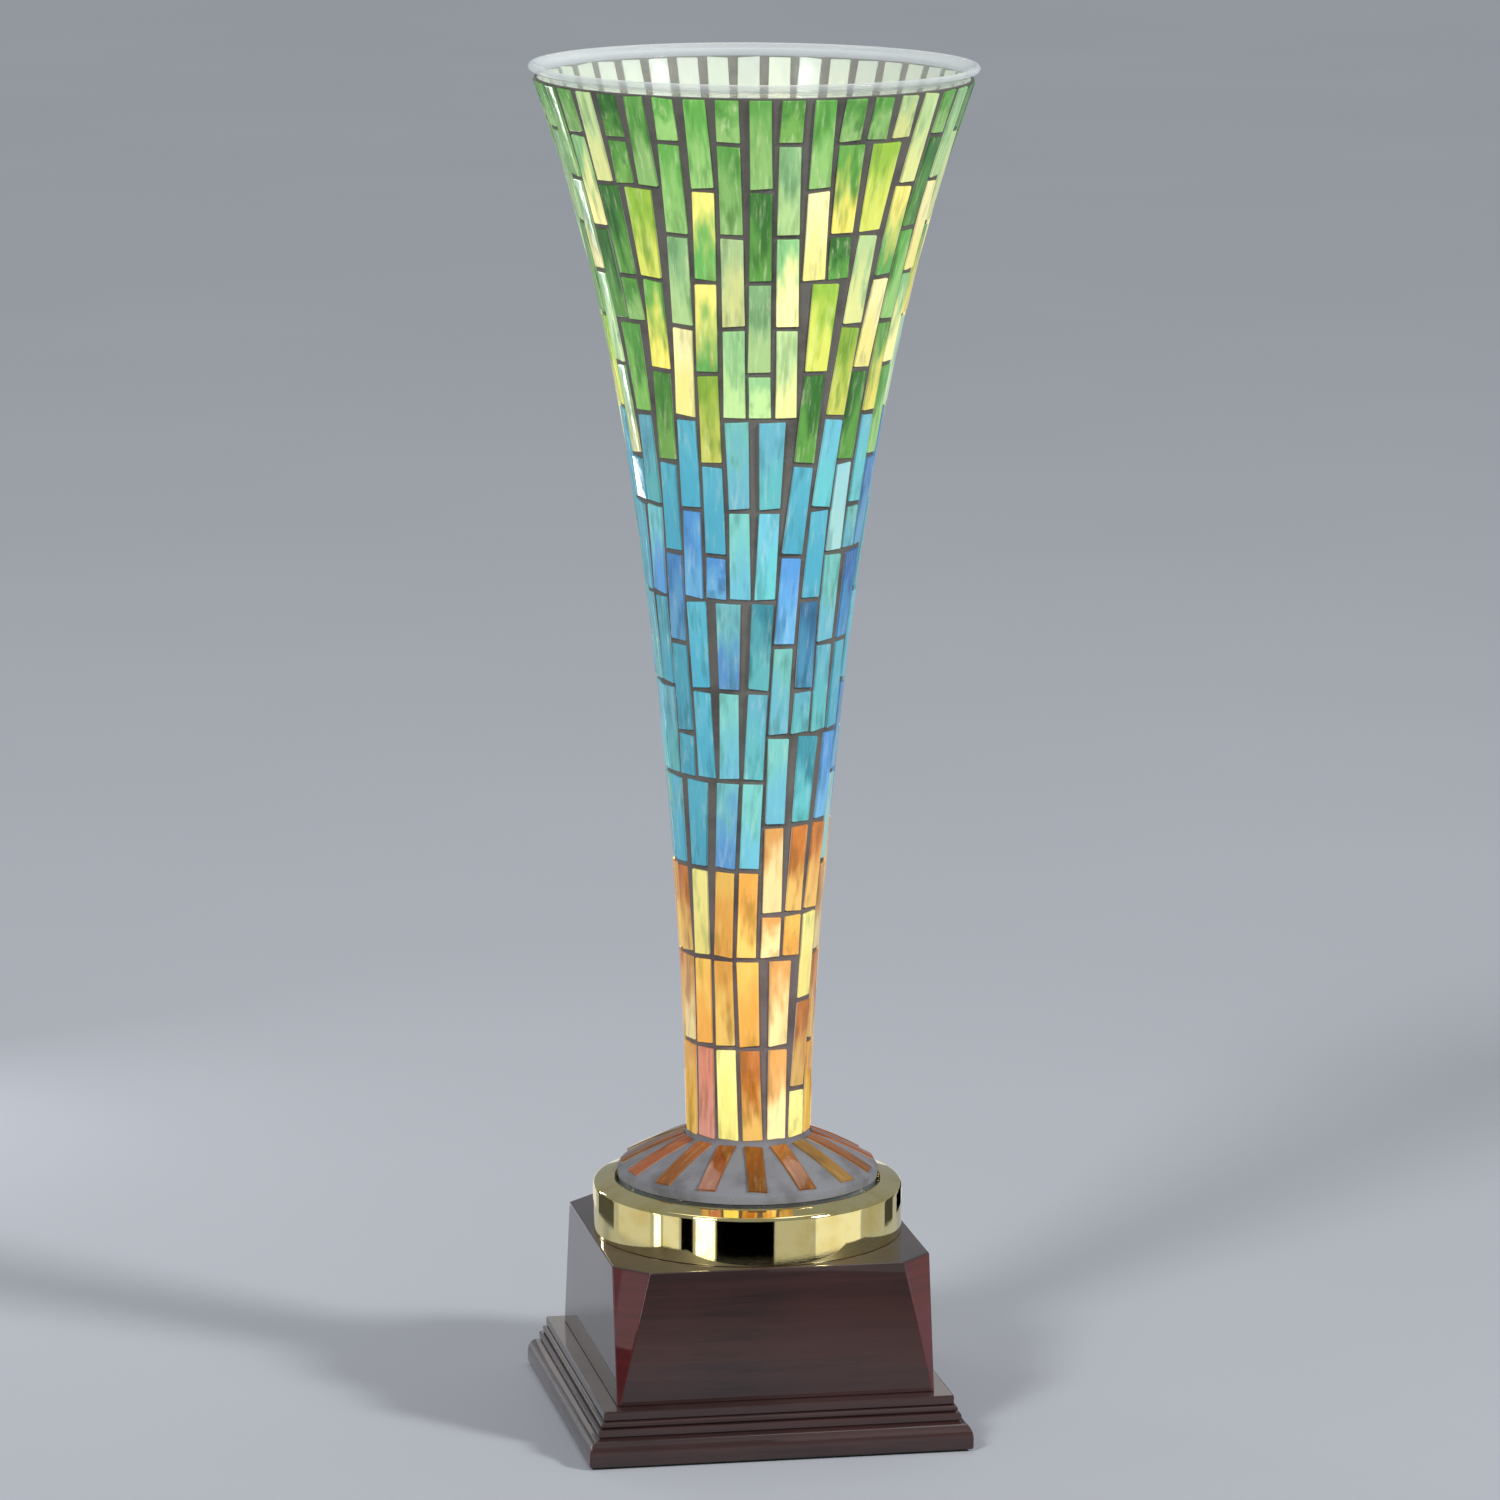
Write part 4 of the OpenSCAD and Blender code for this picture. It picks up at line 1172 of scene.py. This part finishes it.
def opal_finish():
    desk = Desk("opal_glass")
    where = desk.place()
    height = desk.part(where, 2)
    crown = desk.ease(height, 0.322, 0.356)
    cloud = desk.noise(where, 180.0, 2.0)
    glow = desk.mix(crown, paint(196, 150, 92), paint(255, 226, 176))
    glow = desk.mix(cloud * 0.3, glow, paint(255, 240, 206))
    return desk.finish({"Base Color": desk.mix(cloud, paint(246, 242, 230), paint(236, 230, 214)),
                        "Roughness": 0.12 + cloud * 0.06, "Emission Color": glow,
                        "Emission Strength": 6.5, "Normal": desk.bump(cloud, 0.05, 0.3)})


opal = opal_finish()
print("the opal glass has", len(opal.node_tree.nodes), "nodes")

# %% [markdown]
# The envelope is blown in one piece: a globe, a neck that narrows in a soft curve, and a tube that
# the cap is cemented to. The cap's thread is rolled like the shell's, and the two pieces at its end
# are a cone of black glass and a dome of solder.

# %% Bulb pieces
low, high = span("bulb_glass")
globe_r = high.x
globe_z = high.z - globe_r
neck_r, neck_z = 8.2, low.z + 13.2
cap_low, cap_high = span("bulb_cap")
envelope_t = 0.7


def envelope(inset):
    """Section of the globe and its neck, from the crown down."""
    globe = arc((0, globe_z), globe_r - inset, 90, -50, -6)
    neck = [(4.1, 10.2), (2.6, 7.0), (1.2, 3.6), (0.4, 0.6), (0, -2), (-0.4, -5)]
    return globe + [(neck_r + flare - inset, neck_z + rise) for flare, rise in neck]


tube_r = cap_high.x - 0.6
tube = [(tube_r, cap_high.z), (tube_r, low.z), (tube_r - envelope_t, low.z)]
bulb_outline = envelope(0) + tube + envelope(envelope_t)[::-1]
place_piece("opal_globe", turned("bulb_glass", bulb_outline, 96, closed=False, crease=50),
            opal, "opal_glass", "bulb", "bulb_glass")
cap_mesh = threaded("bulb_cap", cap_high.x, 0.45, BULB_PITCH, cap_low.z, cap_high.z,
                    cap_high.x - 0.4, sides=72, rows=12, follow=True)
place_piece("screw_cap_rolled", cap_mesh, nickel, "nickel_cap", "bulb", "bulb_cap")

for node, finish, slot, shoulder in (
        ("bulb_contact", solder, "solder", 0.5),
        ("bulb_insulator", moulding["black_glass"], "black_glass", 2.6)):
    low, high = span(node)
    cone = [(0, low.z), (high.x - shoulder - 0.4, low.z), (high.x - shoulder, low.z + 0.3),
            (high.x - 0.15, high.z - 0.2), (high.x - 0.4, high.z), (0, high.z)]
    place_piece(node + "_domed", turned(node, cone, 48, closed=False), finish, slot, "bulb", node)

# %% [markdown]
# ## Finishes for the pieces whose CAD shape is right
# Screws, terminals, wires and the board keep their CAD shape and only get a real surface.

# %% Finish the carried-over nodes
CARRIED = {"bottom_cover": moulding["pressed_board"], "cover_screws": zinc,
           "block_screws": turned_brass, "terminal_block": moulding["terminal_plastic"],
           "terminal_screws": zinc, "terminal_fixing": zinc, "collar_screws": zinc,
           "socket_insulator": moulding["bare_ceramic"], "socket_contact": bronze,
           "socket_screws": zinc, "lead_live": moulding["brown_insulation"],
           "lead_neutral": moulding["blue_insulation"], "bulb_stem": moulding["stem_glass"],
           "bulb_filament": tungsten}
for node, finish in CARRIED.items():
    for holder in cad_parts[node].material_slots:
        holder.material = finish
print(len(CARRIED), "CAD nodes keep their shape")

# %% [markdown]
# ## Floor and sky
# The lamp stands on a plain pale floor under a dim, even sky. The floor has no gloss, because a
# glossy one would show the lights as bright pools beside the lamp.

# %% Floor and world


def floor_finish():
    desk = Desk("pale_floor")
    cloud = desk.noise(desk.place(), 3.0, 3.0)
    grain = desk.noise(desk.place(), 900.0, 2.0)
    return desk.finish({"Base Color": desk.mix(cloud, paint(164, 167, 173), paint(170, 173, 179)),
                        "Roughness": 0.6 + grain * 0.1, "Specular IOR Level": 0.0,
                        "Normal": desk.bump(grain, 0.02, 0.3)})


def stage_piece(name, points, faces, finish):
    """A plain piece of the studio, which is no part of the lamp."""
    mesh = bpy.data.meshes.new(name)
    mesh.from_pydata(points, [], faces)
    mesh.materials.append(finish)
    thing = add_object(name, mesh)
    return thing


reach = 12.0
corners = [(x * reach, y * reach, 0) for x, y in ((-1, -1), (1, -1), (1, 1), (-1, 1))]
stage_piece("floor", corners, [(0, 1, 2, 3)], floor_finish())

world = bpy.data.worlds.new("studio")
world.use_nodes = True
sky = world.node_tree.nodes["Background"]
sky.inputs["Color"].default_value = paint(220, 225, 232)
sky.inputs["Strength"].default_value = 0.38
bpy.context.scene.world = world
print("the floor reaches", reach, "m each way")

# %% [markdown]
# ## Lights
# Soft light comes from a softbox and a far lamp on each side in front, and a wide box overhead. A
# narrow strip light low at the back left puts a white line on the upper strips. The far lamps light
# the whole floor evenly and give the two long, soft shadows.

# %% Lights


def softbox(name, place, look_at, size, power):
    """A rectangular lamp that doesn't show itself to the camera."""
    light = bpy.data.lights.new(name, "AREA")
    light.shape = "RECTANGLE"
    light.size, light.size_y = size
    light.energy = power
    box = add_object(name, light, looking(Vector(place), Vector(look_at) - Vector(place)))
    box.visible_camera = False


middle = (0, 0, 0.22)
softbox("front_left", (-1.25, -1.2, 1.3), middle, (0.45, 0.55), 11)
softbox("front_right", (1.3, -1.1, 1.15), middle, (0.35, 0.45), 9)
softbox("top", (0.1, 0.5, 1.9), middle, (1.2, 1.2), 7)
softbox("streak", (-0.36, 0.52, 0.17), (-0.06, 0.0, 0.40), (0.035, 0.34), 0.7)


def far_lamp(name, direction, strength, blur):
    """A lamp so far away that it lights the whole floor evenly, with soft-edged shadows."""
    light = bpy.data.lights.new(name, "SUN")
    light.energy = strength
    light.angle = math.radians(blur)
    add_object(name, light, looking(Vector((0, 0, 0)), Vector(direction)))


far_lamp("far_right", (-0.85, 0.75, -0.75), 1.6, 8)
far_lamp("far_left", (0.75, 0.8, -0.8), 1.0, 11)
print(len(bpy.data.lights), "lights")

# %% [markdown]
# ## Cards round the base
# Polished brass only looks polished when it has something to mirror, so a ring of low cards stands
# round the base, some bright and some black. Each is given by the angles where it starts and ends,
# counted from the viewer's side, and its brightness. A fading card below them deepens the top of
# the block's front. They show in reflections only.

# %% Cards
# Start and end in degrees, and brightness.
CARDS = [(-19, 17, 0.0), (-32, -20, 2.8), (-42, -34, 0.0), (-55, -43.5, 0.8), (-62, -57, 2.8),
         (-96, -65, 0.66), (-129, -102, 0.08), (-178, -136, 0.8), (18.5, 42, 0.5), (44, 80, 0.95),
         (82, 104, 0.45), (108, 122, 0.06), (131, 148, 0.0), (150, 178, 0.8)]
CARD_R, CARD_LOW, CARD_HIGH = 0.15, 0.033, 0.075
view_from = math.atan2(-sight.y, -sight.x)


def card(start, end, low, high, finish):
    """A curved upright card at some angles from the view, seen in reflections only."""
    steps = max(2, int((end - start) / 5))
    angles = [view_from + math.radians(start + (end - start) * k / steps) for k in range(steps + 1)]
    thing = stage_piece("card", circle(CARD_R, low, angles) + circle(CARD_R, high, angles),
                        [(k, k + 1, k + steps + 2, k + steps + 1) for k in range(steps)], finish)
    for ray in ("visible_camera", "visible_diffuse", "visible_shadow", "visible_transmission"):
        setattr(thing, ray, False)


def card_finish(desk, glow):
    return desk.finish({"Base Color": (0, 0, 0, 1), "Specular IOR Level": 0.0,
                        "Emission Strength": 1.0, "Emission Color": glow})


for start, end, brightness in CARDS:
    glow = (brightness, brightness, brightness * 0.97, 1)
    card(start, end, CARD_LOW + 0.0001, CARD_HIGH, card_finish(Desk("card"), glow))
fading = Desk("fading_card")
fade = fading.mix(fading.ease(fading.part(fading.place(), 2), 0.0, 0.026), paint(176, 172, 168),
                  paint(40, 36, 42))
card(-60, 60, 0.001, CARD_LOW, card_finish(fading, fade))
print(len(CARDS), "cards stand round the base")

# %% [markdown]
# ## Sizes
# The finished lamp has to fill the same box as the CAD model. The CAD box is printed when the model
# is loaded.
